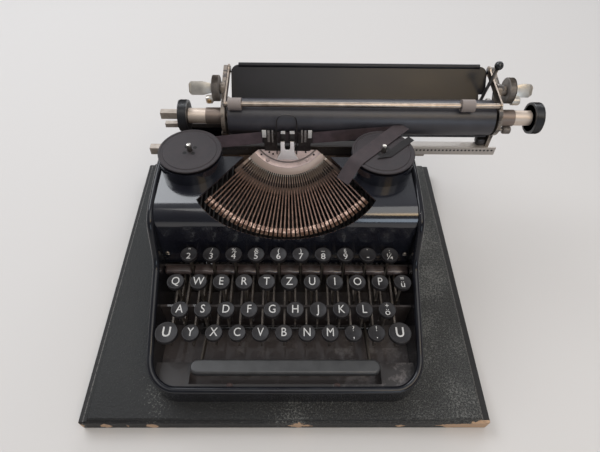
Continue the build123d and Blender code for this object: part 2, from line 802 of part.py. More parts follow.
def paper_table():
    """The leaning panel behind the platen, with round upper corners, a rolled top edge and a notch."""
    half = table_length / 2
    rise = Vector(0, table_top_y - table_low_y, table_top_z - table_low_z)
    lean = atan2(rise.Z, rise.Y)
    face_out = Vector(0, -sin(lean), cos(lean))
    front = Plane(origin=(0, table_low_y, table_low_z), x_dir=(1, 0, 0), z_dir=face_out)
    outline = Polyline((-half, 0), (half, 0), (half, rise.length), (-half, rise.length), close=True)
    sheet = make_face(outline)
    sheet = fillet(sheet.vertices().group_by(Axis.Y)[-1], table_round)
    notch_x = ball_lever_x - ball_hub_length / 2 - table_notch_gap
    notch = make_face(Polyline((notch_x, -1), (half + 1, -1), (half + 1, table_notch), (notch_x, table_notch),
                               close=True))
    panel = extrude(front * (sheet - notch), table_thickness, dir=-face_out)
    back = face_out * (-table_thickness / 2)
    bead_half = half - table_round
    bead = rod_x(-bead_half, bead_half, table_top_y + back.Y, table_top_z + back.Z, table_bead_r)
    return on_carriage([one(panel + bead)])


def paper_bail():
    """Rod with two rollers between two arms that turn on the pegs."""
    y, z = bail_rod_place()
    half_width = bail_arm_width / 2
    inner = platen_length / 2 + arm_gap
    solids = []
    for side in (-1, 1):
        x0, x1 = along(side, inner, arm_thickness)
        arm = strap((y, z), (bail_peg_y, bail_peg_z), half_width, x0, x1)
        arm += rod_x(x0, x1, bail_peg_y, bail_peg_z, half_width + bail_eye)
        solids.append(one(arm - rod_x(x0 - 1, x1 + 1, bail_peg_y, bail_peg_z, bail_peg_r + running_gap)))
    place = -inner
    for x in (bail_roller_in_left - platen_length / 2, platen_length / 2 - bail_roller_in_right):
        solids.append(rod_x(place, x - bail_roller_length / 2, y, z, bail_rod_r))
        solids.append(rod_x(x - bail_roller_length / 2, x + bail_roller_length / 2, y, z, bail_roller_r))
        place = x + bail_roller_length / 2
    solids.append(rod_x(place, inner, y, z, bail_rod_r))
    return on_carriage(solids)


def wing_lever(side):
    """A toothed wheel on a stud, with a flat wing that the hand pushes."""
    plate_out = plate_x0 + end_plate
    wheel_stand = wheel_stand_left if side < 0 else wheel_stand_right
    wing_length = wing_length_left if side < 0 else wing_length_right
    x0, x1 = along(side, plate_out + wheel_stand + seat_gap, wheel_thickness)
    wheel = rod_x(x0, x1, lever_hub_y, lever_hub_z, wheel_r)
    bore = rod_x(x0 - 1, x1 + 1, lever_hub_y, lever_hub_z, wheel_stud_r + running_gap)
    root = plate_out + wheel_stand + seat_gap + wheel_thickness
    tip = root + wing_length
    outline = [(root, -wing_root / 2), (root + wing_flare, -wing_height / 2), (tip, -wing_height / 2),
               (tip, wing_height / 2), (root + wing_flare, wing_height / 2), (root, wing_root / 2)]
    leaf = make_face(Polyline(*[(side * x, z) for x, z in outline], close=True))
    outer = leaf.vertices().sort_by(Axis.X)
    leaf = fillet(outer[-2:] if side > 0 else outer[:2], wing_round)
    wing = extrude(Plane.XZ * leaf, wing_thickness / 2, both=True)
    wing = Pos(0, lever_hub_y, lever_hub_z) * Rot(-wing_tilt, 0, 0) * one(wing)
    return on_carriage([one(wheel - bore), wing])


def paper_release_lever():
    """A ball-tipped lever on a stud inside the right end plate."""
    half = ball_hub_length / 2
    x0 = ball_lever_x - half
    x1 = ball_lever_x + half
    hub = rod_x(x0, x1, ball_hub_y, ball_hub_z, ball_hub_r)
    hub -= rod_x(x0 - 1, x1 + 1, ball_hub_y, ball_hub_z, ball_stud_r + running_gap)
    lean = Vector(0, ball_y - ball_hub_y, ball_z - ball_hub_z).normalized()
    root = Vector(ball_lever_x, ball_hub_y, ball_hub_z) + lean * (ball_hub_r - 1)
    ball = Vector(ball_lever_x, ball_y, ball_z)
    stem = round_bar(root, ball - lean * (ball_r - 0.5), ball_stem_r) - hub
    stem -= Pos(*ball) * Sphere(ball_r)
    return on_carriage([one(hub), one(stem), Pos(*ball) * Sphere(ball_r)])


def build_nodes():
    """Every node's name and its solids."""
    nodes = {
        "case_board": case_board(),
        "base_frame": base_frame(),
        "carriage_rails": carriage_rails(),
        "top_cover": top_cover(),
        "type_segment": type_segment(),
        "typebars": typebars(),
        "typebar_b": [typebar_solid(moving_bar)],
        "ribbon": ribbon(),
        "spool_left": spool(-1),
        "spool_right": spool(1),
        "ribbon_vibrator": ribbon_vibrator(),
        "carriage_frame": carriage_frame(),
        "platen": platen(),
        "paper_table": paper_table(),
        "paper_bail": paper_bail(),
        "line_space_lever": wing_lever(-1),
        "carriage_release_lever": wing_lever(1),
        "paper_release_lever": paper_release_lever(),
        "shift_frame": shift_frame(),
        "space_bar": space_bar(),
    }
    for name, x, row in row_keys():
        nodes["key_" + name] = key_solids(x, row_y[row], row_z[row], key_top_r)
    return nodes


os.makedirs("parts", exist_ok=True)
for node, solids in build_nodes().items():
    lifted = [Pos(0, 0, board_thickness) * solid for solid in solids]
    export_step(Compound(lifted), "parts/" + node + ".step")
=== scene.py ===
# %% [markdown]
# # A portable typewriter on its case board
# The measured solids come first and stay where they are. This lesson dresses them: finishes for the
# enamel, steel, rubber and cloth, and the finer pieces, such as the rolled rim, the key tops with
# their letters, the spools, the knobs and the ribbon.

# %% Load the measured model
from math import atan2, cos, pi, radians, sin, tau

import bpy
from mathutils import Matrix, Vector


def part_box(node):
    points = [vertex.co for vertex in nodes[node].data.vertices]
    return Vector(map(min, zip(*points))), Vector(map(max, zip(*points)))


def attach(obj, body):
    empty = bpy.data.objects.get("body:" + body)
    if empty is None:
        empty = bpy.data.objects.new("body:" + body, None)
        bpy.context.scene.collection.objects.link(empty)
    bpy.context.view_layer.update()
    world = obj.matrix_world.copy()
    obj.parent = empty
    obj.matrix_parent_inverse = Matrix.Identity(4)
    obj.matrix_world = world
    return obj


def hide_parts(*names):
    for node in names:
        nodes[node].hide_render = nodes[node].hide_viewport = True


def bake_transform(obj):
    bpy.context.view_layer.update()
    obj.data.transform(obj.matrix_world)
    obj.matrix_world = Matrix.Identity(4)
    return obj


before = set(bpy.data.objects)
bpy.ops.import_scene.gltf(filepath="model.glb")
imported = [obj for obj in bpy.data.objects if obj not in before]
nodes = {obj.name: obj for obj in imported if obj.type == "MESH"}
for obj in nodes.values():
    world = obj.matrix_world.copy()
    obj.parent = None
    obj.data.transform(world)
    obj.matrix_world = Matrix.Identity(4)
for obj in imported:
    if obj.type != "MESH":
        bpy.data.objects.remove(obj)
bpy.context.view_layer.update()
MM = 0.001
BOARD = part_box("case_board")[1].z / MM
print("loaded", len(nodes), "nodes, board", round(BOARD, 1), "mm thick")


# %% [markdown]
# ## Helpers
# Heights count from the top of the board, so `at` turns millimetres measured from there into metres in
# the shared frame. `added` clears the selection before it adds an object, because an operator acts on
# all that is selected.

# %% Helpers for placing
X, Y, Z = range(3)


def at(x, y, z):
    return Vector((x * MM, y * MM, (z + BOARD) * MM))


def clear_selection():
    bpy.ops.object.select_all(action="DESELECT")


def added(operator, **settings):
    """The object that an operator adds."""
    clear_selection()
    operator(**settings)
    return bpy.context.object


def take(piece):
    """Make this piece the only one selected."""
    clear_selection()
    piece.select_set(True)
    bpy.context.view_layer.objects.active = piece


def apply_place():
    bpy.ops.object.transform_apply(location=True, rotation=True, scale=True)


def turn_about(axis, degrees):
    return Matrix.Rotation(radians(degrees), 4, axis)


def move(piece, place, turn=Matrix.Identity(4)):
    """Turn the piece's mesh and then move it."""
    piece.data.transform(Matrix.Translation(place) @ turn)


def paint(piece, *finishes):
    for finish in finishes:
        piece.data.materials.append(finish)


def hang(piece, name, body):
    """Name a finished piece and hang it on its body."""
    piece.name = name
    piece.data.name = name
    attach(piece, body)


def settle(piece, name, finish, body):
    """Apply the piece's place to its mesh, then paint, name and hang it."""
    take(piece)
    apply_place()
    if finish:
        piece.data.materials.clear()
        paint(piece, finish)
    hang(piece, name, body)


def middle_of(name):
    return [(low + high) / 2 for low, high in zip(*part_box(name))]


def join(pieces):
    clear_selection()
    for piece in pieces:
        piece.select_set(True)
    bpy.context.view_layer.objects.active = pieces[0]
    bpy.ops.object.join()
    return bpy.context.object


print("placing helpers ready")


# %% [markdown]
# Faces and edges are picked by a test on where they lie. Each picker ends in edit mode with only those
# selected, and `done` leads back out of it.

# %% Helpers for meshes
def smooth(piece, degrees=30):
    take(piece)
    bpy.ops.object.shade_smooth_by_angle(angle=radians(degrees))


def edit(piece, mode):
    take(piece)
    bpy.ops.object.mode_set(mode="EDIT")
    bpy.ops.mesh.select_mode(type=mode)


def pick_all():
    bpy.ops.mesh.select_all(action="SELECT")


def done():
    bpy.ops.object.mode_set(mode="OBJECT")


def unpick(piece):
    for part in (piece.data.vertices, piece.data.edges, piece.data.polygons):
        part.foreach_set("select", [False] * len(part))


def pick_faces(piece, test):
    """Edit the faces whose centre and normal pass the test."""
    unpick(piece)
    for face in piece.data.polygons:
        face.select = test(face.center, face.normal)
    edit(piece, "FACE")


def pick_edges(piece, test):
    """Edit the edges whose two ends pass the test."""
    unpick(piece)
    for edge in piece.data.edges:
        edge.select = test(*(piece.data.vertices[end].co for end in edge.vertices))
    edit(piece, "EDGE")


def soft_edges(piece, width, segments, degrees):
    """A modifier that rounds the edges sharper than the given angle."""
    soft = piece.modifiers.new("softened edges", "BEVEL")
    soft.width = width * MM
    soft.segments = segments
    soft.limit_method = "ANGLE"
    soft.angle_limit = radians(degrees)
    return soft


def bevel(piece, width, segments=2, degrees=40, shade=40):
    """Round the sharp edges and shade the piece smooth across gentle ones."""
    soft = soft_edges(piece, width, segments, degrees)
    take(piece)
    bpy.ops.object.modifier_apply(modifier=soft.name)
    smooth(piece, shade)


def block(x, y, low, high, wide, deep):
    """A plain box, between two heights."""
    piece = added(bpy.ops.mesh.primitive_cube_add, size=1, location=at(x, y, (low + high) / 2))
    piece.scale = (wide * MM, deep * MM, (high - low) * MM)
    apply_place()
    return piece


def bent_wire(points, radius, steps, roundness, capped):
    """A round bar along a smooth line through (x, y, z) points in millimetres, made a mesh."""
    wire = added(bpy.ops.curve.primitive_nurbs_path_add)
    wire.data.splines.clear()
    line = wire.data.splines.new("NURBS")
    line.points.add(len(points) - 1)
    for point, place in zip(line.points, points):
        point.co = (*at(*place), 1)
    line.order_u = 3
    line.use_endpoint_u = True
    wire.data.resolution_u = steps
    wire.data.bevel_depth = radius * MM
    wire.data.bevel_resolution = roundness
    wire.data.use_fill_caps = capped
    wire.location = (0, 0, 0)
    bpy.ops.object.convert(target="MESH")
    return bpy.context.object


print("mesh helpers ready")


# %% [markdown]
# ## The camera
# The photograph looks down on the keyboard from the typist's side. Its place was worked out from the
# board's edges and the key rows, so the camera stands there with the same angle of view.

# %% Camera
PITCH, YAW, ROLL = (radians(a) for a in (51.74, 1.17, -1.19))
EYE = at(6.52, -256.65, 392.77)
SENSOR, FOCUS_PIXELS, PHOTO_PIXELS = 36, 460, 600
ahead = Vector((sin(YAW) * cos(PITCH), cos(YAW) * cos(PITCH), -sin(PITCH)))
level = Vector((cos(YAW), -sin(YAW), 0))
below = ahead.cross(level)
right = cos(ROLL) * level + sin(ROLL) * below
down = -sin(ROLL) * level + cos(ROLL) * below
camera = added(bpy.ops.object.camera_add)
camera.matrix_world = Matrix.Translation(EYE) @ Matrix((right, -down, -ahead)).transposed().to_4x4()
camera.data.sensor_width = SENSOR
camera.data.lens = SENSOR * FOCUS_PIXELS / PHOTO_PIXELS
camera.data.clip_start = 0.01
bpy.context.scene.camera = camera
print("camera at", [round(v, 3) for v in camera.location])


# %% [markdown]
# ## Light and floor
# A pale floor, a pale world and soft lamps. The room is darker behind the typist, so that enamel which
# faces forwards stays black. The lamp behind the machine draws the long streaks along the
# cover's shoulder and the platen. A small warm one and a small cool one in front show
# as a golden and a bluish band in the right end of the cover.

# %% Stage
def fill(made, **sockets):
    """Set a node's own values by the names of its sockets."""
    for name, value in sockets.items():
        made.inputs[name.replace("_", " ")].default_value = value
    return made


def node(tree, kind, **sockets):
    return fill(tree.nodes.new("ShaderNode" + kind), **sockets)


def link(start, end):
    start.id_data.links.new(start, end)


def split(vector):
    """The three parts of a vector, along X, Y and Z."""
    made = node(vector.id_data, "SeparateXYZ")
    link(vector, made.inputs[0])
    return made.outputs


def fade(value, start, end, first, last):
    """Turn a value between start and end into one between first and last."""
    made = node(value.id_data, "MapRange", From_Min=start, From_Max=end, To_Min=first, To_Max=last)
    link(value, made.inputs["Value"])
    return made.outputs["Result"]


def shader_of(finish):
    return finish.node_tree.nodes["Principled BSDF"]


scene = bpy.context.scene
scene.view_settings.view_transform = "Standard"
scene.world = bpy.data.worlds.new("pale room")
scene.world.use_nodes = True
room = scene.world.node_tree
backdrop = fill(room.nodes["Background"], Color=(0.8, 0.82, 0.86, 1))
facing = split(node(room, "TexCoord").outputs["Generated"])
link(fade(facing[Y], -0.9, 0.3, 0.14, 0.58), backdrop.inputs["Strength"])


def soft_lamp(name, place, aim, size, watts, colour):
    lamp = added(bpy.ops.object.light_add, type="AREA", location=place)
    lamp.name = name
    lamp.data.shape = "RECTANGLE"
    lamp.data.size, lamp.data.size_y = size
    lamp.data.energy = watts
    lamp.data.color = colour
    lamp.rotation_euler = (Vector(aim) - Vector(place)).to_track_quat("-Z", "Y").to_euler()


soft_lamp("window", (-0.9, 0.7, 1.3), (0, 0, 0.1), (1.2, 0.9), 16, (0.93, 0.96, 1))
soft_lamp("back", (0.6, 1.8, 1.2), (0.05, 0, 0.1), (1.9, 0.7), 15, (0.95, 0.97, 1))
soft_lamp("ceiling", (0.3, -0.5, 1.5), (0, 0, 0.05), (1.4, 1.2), 11, (1, 0.98, 0.95))
soft_lamp("right window", (0.55, -1.6, 0.5), (0.07, -0.02, 0.1), (0.55, 0.6), 4, (0.72, 0.85, 1))
soft_lamp("warm lamp", (0.5, -0.85, 1.18), (0.08, -0.02, 0.1), (0.45, 0.3), 2, (1, 0.7, 0.34))

floor = added(bpy.ops.mesh.primitive_plane_add, size=8, location=(0, 0, -0.0002))
floor.name = "floor"
paper_white = bpy.data.materials.new("paper_white")
paper_white.use_nodes = True
fill(shader_of(paper_white), Base_Color=(0.57, 0.55, 0.535, 1), Roughness=0.8)
paint(floor, paper_white)
print("floor and", len(bpy.data.lights), "lamps")


# %% [markdown]
# ## Finishes
# Old surfaces are never one colour. Each finish starts from two tones that a soft noise mixes, a
# roughness that wanders between two values, and a fine bump. Where one solid carries several
# materials, such as the platen with its metal ferrules, `tint` lays a second tone over a mask
# made from the place on the object.

# %% Finish helpers
def maths(operation, first, second=0.5, kind="Math"):
    made = node(first.id_data, kind)
    made.operation = operation
    link(first, made.inputs[0])
    if isinstance(second, bpy.types.NodeSocket):
        link(second, made.inputs[1])
    else:
        made.inputs[1].default_value = second
    return made.outputs[0]


def times(first, second):
    return maths("MULTIPLY", first, second)


def over(value, limit):
    return maths("GREATER_THAN", value, limit)


def under(value, limit):
    return maths("LESS_THAN", value, limit)


def between(value, low, high):
    return times(over(value, low), under(value, high))


def object_place(finish):
    return node(finish.node_tree, "TexCoord").outputs["Object"]


def along(finish, axis):
    return split(object_place(finish))[axis]


def away_from(finish, axis, place):
    """How far a point lies from a place along one axis."""
    return maths("ABSOLUTE", maths("SUBTRACT", along(finish, axis), place))


def pattern(finish, kind, **sockets):
    """A texture node that follows the place on the object."""
    made = node(finish.node_tree, kind, **sockets)
    link(object_place(finish), made.inputs["Vector"])
    return made


def noise(finish, scale, detail, rough=0.5):
    return pattern(finish, "TexNoise", Scale=scale, Detail=detail, Roughness=rough).outputs["Fac"]


def raise_where(finish, height, strength, distance):
    """Let the surface look raised where the height is larger."""
    ridge = node(finish.node_tree, "Bump", Strength=strength, Distance=distance)
    link(height, ridge.inputs["Height"])
    link(ridge.outputs["Normal"], shader_of(finish).inputs["Normal"])


def as_colour(tone):
    """Tones are written in thousandths of full brightness."""
    return (*(part / 1000 for part in tone), 1)


def aged(name, light, dark, rough, metal, scale, grain, bump, coat=0, shine=0.5):
    """A finish that wanders between two tones, with a fine grain in its surface."""
    finish = bpy.data.materials.new(name)
    finish.use_nodes = True
    shader = fill(shader_of(finish), Metallic=metal, Coat_Weight=coat, Specular_IOR_Level=shine)
    drift = noise(finish, scale, 6, 0.6)
    tones = node(finish.node_tree, "ValToRGB")
    for stop, position, tone in zip(tones.color_ramp.elements, (0.32, 0.68), (dark, light)):
        stop.position = position
        stop.color = as_colour(tone)
    link(drift, tones.inputs["Fac"])
    link(tones.outputs["Color"], shader.inputs["Base Color"])
    link(fade(drift, 0, 1, *rough), shader.inputs["Roughness"])
    raise_where(finish, noise(finish, grain, 3), bump, 0.0003)
    return finish


def tint(finish, mask, tone, rough, metal=0):
    """Lay another tone over the finish where the mask is 1."""
    looks = (("Base Color", as_colour(tone), "RGBA", "RGBA"), ("Roughness", rough, "FLOAT", "VALUE"),
             ("Metallic", metal, "FLOAT", "VALUE"))
    for name, value, kind, sort in looks:
        mix = node(finish.node_tree, "Mix")
        mix.data_type = kind
        first, second = [s for s in mix.inputs if s.type == sort and s.enabled][-2:]
        target = shader_of(finish).inputs[name]
        if target.is_linked:
            link(target.links[0].from_socket, first)
        else:
            first.default_value = target.default_value
        second.default_value = value
        link(mask, [s for s in mix.inputs if s.name == "Factor" and s.enabled][0])
        link([s for s in mix.outputs if s.enabled][0], target)


print("finish helpers ready")


# %% [markdown]
# The palette: enamel, steel, nickel, brass and the black of the keys. Each line gives the two tones,
# the range of the roughness, how metallic it is, the scales of the noise and the grain, and the bump.

# %% The palette
enamel = aged("black_enamel", (11, 12, 17), (6, 6, 10), (0.14, 0.26), 0, 40, 500, 0.02, 0.6)
fill(shader_of(enamel), Coat_Roughness=0.06)
table_black = aged("table_black", (12, 11, 14), (6, 6, 8), (0.24, 0.4), 0, 30, 500, 0.04, shine=0.3)
steel = aged("worn_steel", (460, 410, 360), (240, 200, 165), (0.28, 0.5), 1, 120, 1400, 0.15)
nickel = aged("dull_nickel", (600, 570, 520), (340, 310, 280), (0.2, 0.42), 1, 150, 1200, 0.1)
dark_steel = aged("blued_steel", (90, 85, 85), (35, 33, 34), (0.3, 0.55), 0.8, 160, 1200, 0.15)
lever_steel = aged("lever_steel", (190, 165, 145), (70, 58, 50), (0.35, 0.6), 0.6, 180, 1200, 0.15)
key_black = aged("key_black", (15, 13, 14), (8, 7, 8), (0.42, 0.58), 0, 320, 1500, 0.12, shine=0.35)
letter_white = aged("letter_white", (540, 530, 515), (410, 400, 385), (0.4, 0.55), 0, 700, 2000, 0.05)
tin = aged("spool_tin", (27, 20, 22), (17, 13, 15), (0.5, 0.65), 0, 130, 1100, 0.12, shine=0.35)
brass = aged("worn_brass", (500, 330, 170), (260, 170, 90), (0.3, 0.5), 0.9, 200, 1200, 0.1)
lever_nickel = aged("lever_nickel", (660, 620, 560), (440, 410, 370), (0.3, 0.45), 0.7, 110, 1200, 0.1)
print("finishes:", len(bpy.data.materials))


# %% [markdown]
# Some solids carry more than one finish. The typebars are rusty strips with brassy slugs, and the slug
# is the part far along the basket's axis. The tray's floor carries dust with dry blots, and its sunk
# floor in the bay is painted lighter than the shelf above it, a painted light that offsets the shade in
# the bay. Its near right corner is pale, and its combs are rusty. The carriage and its rails are bright
# at the ends and greasy in the middle.

# %% Finishes that change with the place
TILT = radians(50.2)
BASKET_AXIS = Vector((0, -sin(TILT), cos(TILT)))
PRINT_POINT = at(0, 71.35, 124.33)
SLUG_DEPTH = 33.4 * MM
CARRIAGE_X = 67.1


def vector_maths(operation, first, second=(0, 0, 0)):
    return maths(operation, first, second, "VectorMath").node.outputs


def basket_radius(finish):
    """Distance from the basket's axis, for rings on the segment."""
    offset = vector_maths("SUBTRACT", object_place(finish), PRINT_POINT)["Vector"]
    sideways = vector_maths("CROSS_PRODUCT", offset, BASKET_AXIS)["Vector"]
    return vector_maths("LENGTH", sideways)["Value"]


def mask_where(finish, *ranges, faces_up=False):
    """1 inside a box given as (axis, low, high) in millimetres over the board, 0 elsewhere."""
    mask = 1
    for axis, low, high in ranges:
        lift = BOARD if axis == Z else 0
        inside = between(along(finish, axis), (low + lift) * MM, (high + lift) * MM)
        mask = times(inside, mask)
    if faces_up:
        normal = node(finish.node_tree, "NewGeometry").outputs["Normal"]
        mask = times(mask, over(split(normal)[Z], 0.9))
    return mask


def tint_box(finish, ranges, *look):
    tint(finish, mask_where(finish, *ranges), *look)


type_bar = aged("rusty_typebar", (330, 205, 155), (150, 92, 72), (0.38, 0.6), 0.35, 170, 1300, 0.2)
reach = vector_maths("DOT_PRODUCT", object_place(type_bar), BASKET_AXIS)["Value"]
slug = over(maths("SUBTRACT", reach, PRINT_POINT.dot(BASKET_AXIS)), SLUG_DEPTH)
tint(type_bar, slug, (260, 155, 115), 0.5, 0.3)
glints = over(noise(type_bar, 260, 3, 0.6), 0.53)
tint(type_bar, times(slug, glints), (680, 470, 370), 0.4, 0.5)

tray = aged("tray_enamel", (13, 13, 16), (7, 7, 9), (0.12, 0.28), 0, 40, 500, 0.03, 0.5)
blots = noise(tray, 55, 8, 0.72)
INSIDE = (X, -107.9, 107.9)
# Painted light: the sunk floor of the bay (1 to 10 mm) is painted lighter than the shelf (10 to 19 mm),
# against the shade in the bay; the blots on each are dry dust.
for low, high, dull, dry in ((10, 19, (18, 14.5, 14.5), 34), (1, 10, (48, 38, 37), 76)):
    dust_and_painted_light = mask_where(tray, INSIDE, (Y, -128.9, 139.9), (Z, low, high), faces_up=True)
    tint(tray, dust_and_painted_light, dull, 0.6)
    tint(tray, times(dust_and_painted_light, over(blots, 0.56)), (dry, dry * 0.86, dry * 0.84), 0.8)
near_corner = mask_where(tray, (X, 38, 107), (Y, -129, -88), (Z, 2, 19), faces_up=True)
pale = times(near_corner, fade(blots, 0.49, 0.6, 0, 1))
tint(tray, pale, (130, 118, 118), 0.85)
for comb_y in (-30, -65):
    tint_box(tray, [INSIDE, (Y, comb_y - 1.1, comb_y + 1.1), (Z, 3.2, 60)], (34, 25, 23), 0.6, 0.1)

roller = aged("platen_line", (40, 38, 46), (26, 25, 31), (0.32, 0.44), 0, 60, 1600, 0.1)
RUBBER_END, FERRULE_END, COLLAR_END = 120.8 * MM, 141.9 * MM, 157.9 * MM
from_middle = away_from(roller, X, CARRIAGE_X * MM)
tint(roller, between(from_middle, RUBBER_END, FERRULE_END), (210, 165, 140), 0.42, 0.7)
tint(roller, between(from_middle, FERRULE_END, COLLAR_END), (620, 520, 440), 0.42, 0.6)
tint(roller, over(from_middle, COLLAR_END), (16, 16, 18), 0.3)

bail_metal = aged("bail_nickel", (440, 370, 310), (270, 220, 180), (0.22, 0.4), 1, 150, 1200, 0.1)
for middle in (CARRIAGE_X - 113.3, CARRIAGE_X + 92.4):
    tint_box(bail_metal, [(X, middle - 5.8, middle + 5.8)], (220, 185, 170), 0.55)

carriage_black = aged("carriage_enamel", (14, 14, 17), (7, 7, 9), (0.14, 0.3), 0, 50, 500, 0.03, 0.5)
RACK = (Z, 83, 93.1)
tint_box(carriage_black, [RACK], (420, 380, 345), 0.5, 0.4)
tint_box(carriage_black, [(X, -118, 112), RACK], (40, 32, 29), 0.65, 0.2)
worn_ends = times(over(away_from(carriage_black, X, CARRIAGE_X * MM), 120.5 * MM),
                  over(along(carriage_black, Z), (BOARD + 93.2) * MM))
tint(carriage_black, worn_ends, (200, 165, 135), 0.45, 0.6)
grime = over(noise(carriage_black, 150, 5, 0.7), 0.55)
tint(carriage_black, times(worn_ends, grime), (55, 45, 40), 0.6, 0.3)

rail_metal = aged("rail_metal", (420, 370, 320), (240, 200, 170), (0.35, 0.5), 0.6, 90, 1200, 0.12)
tint_box(rail_metal, [(X, -113, 110)], (45, 36, 32), 0.65, 0.2)
# Painted shade: the key levers are painted dark from just behind the top row backwards, where they lie in
# shade under the cover.
tint_box(lever_steel, [(Y, -27.5, 200)], (20, 17, 16), 0.7, 0.2)
ball_black = aged("ball_nickel", (500, 480, 450), (270, 250, 230), (0.25, 0.4), 1, 150, 1200, 0.1)
tint_box(ball_black, [(Z, 162.3, 180)], (10, 10, 11), 0.22)
space_black = aged("space_black", (45, 45, 46), (31, 31, 32), (0.3, 0.46), 0, 90, 900, 0.12)
tint_box(space_black, [(Z, 0, 23.9)], (160, 140, 120), 0.5, 0.8)

segment_metal = aged("segment_metal", (620, 570, 510), (420, 370, 320), (0.3, 0.5), 0.75, 110, 1300, 0.12)
radius = basket_radius(segment_metal)
for ring, colour, rough in ((49, (260, 190, 150), 0.5), (56, (110, 75, 60), 0.6)):
    tint(segment_metal, over(radius, ring * MM), colour, rough, 0.3)
print("place-dependent finishes ready")


# %% [markdown]
# The board is wood under a dark pebbled cloth. The pebbles are small cells in the bump, and rubbed
# specks grow denser to the right. A smooth strip with a pale seam runs along each side. Low on the
# front face the cloth has worn through to the tan wood in a few places, most at the right corner.

# %% Leatherette
cloth = aged("pebbled_cloth", (21, 21.5, 21.5), (12, 12.5, 12.5), (0.55, 0.75), 0, 35, 700, 0.1, shine=0.35)
cells = pattern(cloth, "TexVoronoi", Scale=620)
raise_where(cloth, cells.outputs["Distance"], 0.55, 0.0006)
# Painted shade: the cloth is darkened towards the front edge, for the machine's shadow on the board in
# front of it.
painted_front_shade = fade(along(cloth, Y), -0.148, -0.105, 0.9, 0)
tint(cloth, painted_front_shade, (8, 8, 8.5), 0.6)
specks = noise(cloth, 1050, 4, 0.8)
rubbed = fade(along(cloth, X), -0.17, 0.17, 0.63, 0.515)
tint(cloth, over(specks, rubbed), (70, 70, 66), 0.75)
scuffs = maths("ADD", noise(cloth, 560, 4, 0.8), times(noise(cloth, 22, 3), 0.55))
scuffs = maths("SUBTRACT", scuffs, times(rubbed, 0.9))
tint(cloth, over(scuffs, 0.405), (115, 115, 108), 0.75)

low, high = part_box("case_board")
for edge, strip in ((low.x, 3.6), (high.x, 5.6)):
    inwards = away_from(cloth, X, edge)
    tint(cloth, under(inwards, strip * MM), (13, 12, 12), 0.6)
    seam = between(inwards, (strip - 0.1) * MM, (strip + 0.7) * MM)
    tint(cloth, times(seam, over(specks, 0.47)), (120, 115, 110), 0.75)
top_edge = times(under(along(cloth, Y), low.y + 1.3 * MM), over(along(cloth, Z), high.z - MM))
tint(cloth, times(top_edge, over(specks, 0.46)), (100, 98, 94), 0.75)

# Each worn place is (middle, half its length, how far it is worn) along a line at this height.
WEAR_Z = 6.5
WORN = ((-170, 8, 0.34), (-149, 10, 0.3), (-131, 8, 0.22), (-110, 12, 0.26), (11, 16, 0.36), (96, 10, 0.18))
share = fade(along(cloth, X), 0.108, 0.165, -0.02, 0.42)
for middle, half, amount in WORN:
    stretch = fade(away_from(cloth, X, middle * MM), 0, half * MM, amount, -0.1)
    share = maths("MAXIMUM", share, stretch)
eaten = maths("ADD", noise(cloth, 60, 7, 0.7), share)
eaten = maths("SUBTRACT", eaten, times(away_from(cloth, Z, WEAR_Z * MM), 34))
front = under(along(cloth, Y), low.y + 2.2 * MM)
tint(cloth, times(front, over(eaten, 0.6)), (460, 300, 190), 0.7)
nodes["case_board"].data.materials[0] = cloth
print("cloth on the board, worn in", len(WORN) + 1, "places")


# %% [markdown]
# ## Dressing the solids
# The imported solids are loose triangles. A small node group welds them and shades them smooth across
# gentle edges, so that round pieces look round, and a bevel modifier breaks the sharp edges that
# pressed and machined metal never has. The solids themselves stay as measured.

# %% Smooth shading for the solids
WELD, STEEP = 0.000004, radians(32)
group = bpy.data.node_groups.new("weld_and_shade", "GeometryNodeTree")
for way in ("INPUT", "OUTPUT"):
    group.interface.new_socket("Geometry", in_out=way, socket_type="NodeSocketGeometry")
chain = [group.nodes.new(kind) for kind in (
    "NodeGroupInput", "GeometryNodeMergeByDistance", "GeometryNodeSetShadeSmooth",
    "GeometryNodeSetShadeSmooth", "NodeGroupOutput")]
weld, sharp = chain[1], chain[3]
fill(weld, Distance=WELD)
fill(sharp, Shade_Smooth=False).domain = "EDGE"
fold = group.nodes.new("GeometryNodeInputMeshEdgeAngle")
steep = group.nodes.new("FunctionNodeCompare")
steep.operation = "GREATER_THAN"
steep.inputs[1].default_value = STEEP
for start, end in zip(chain, chain[1:]):
    link(start.outputs[0], end.inputs[0])
link(fold.outputs["Unsigned Angle"], steep.inputs[0])
link(steep.outputs["Result"], sharp.inputs["Selection"])

SOFT_EDGES = {"case_board": 1.2, "top_cover": 0.35, "carriage_frame": 0.4, "paper_table": 0.3,
              "space_bar": 0.3, "carriage_rails": 0.4, "ribbon_vibrator": 0.15}
FINISH_OF = {"base_frame": tray, "top_cover": enamel, "type_segment": segment_metal, "typebars": type_bar,
             "typebar_b": type_bar, "carriage_rails": rail_metal, "carriage_frame": carriage_black,
             "paper_table": table_black, "platen": roller, "paper_bail": bail_metal,
             "paper_release_lever": ball_black, "ribbon_vibrator": dark_steel, "space_bar": space_black,
             "shift_frame": lever_steel}
for name, solid in nodes.items():
    shade = solid.modifiers.new("weld and shade", "NODES")
    shade.node_group = group
    if name in SOFT_EDGES:
        soft_edges(solid, SOFT_EDGES[name], 3, 40).harden_normals = True
    even = solid.modifiers.new("even normals", "WEIGHTED_NORMAL")
    even.keep_sharp = True
    if name.startswith("key_"):
        solid.data.materials[0] = lever_steel
    elif name in FINISH_OF:
        solid.data.materials[0] = FINISH_OF[name]
print("dressed", len(nodes), "solids")


# %% [markdown]
# ## The rolled rim
# The tray's edge is rolled over into a round bead that runs from one shoulder down the cheek, along the
# side, round the front and back up. A curve with a round section follows the top of the wall, and is
# then made a mesh. Its enamel is chipped in places on the right.

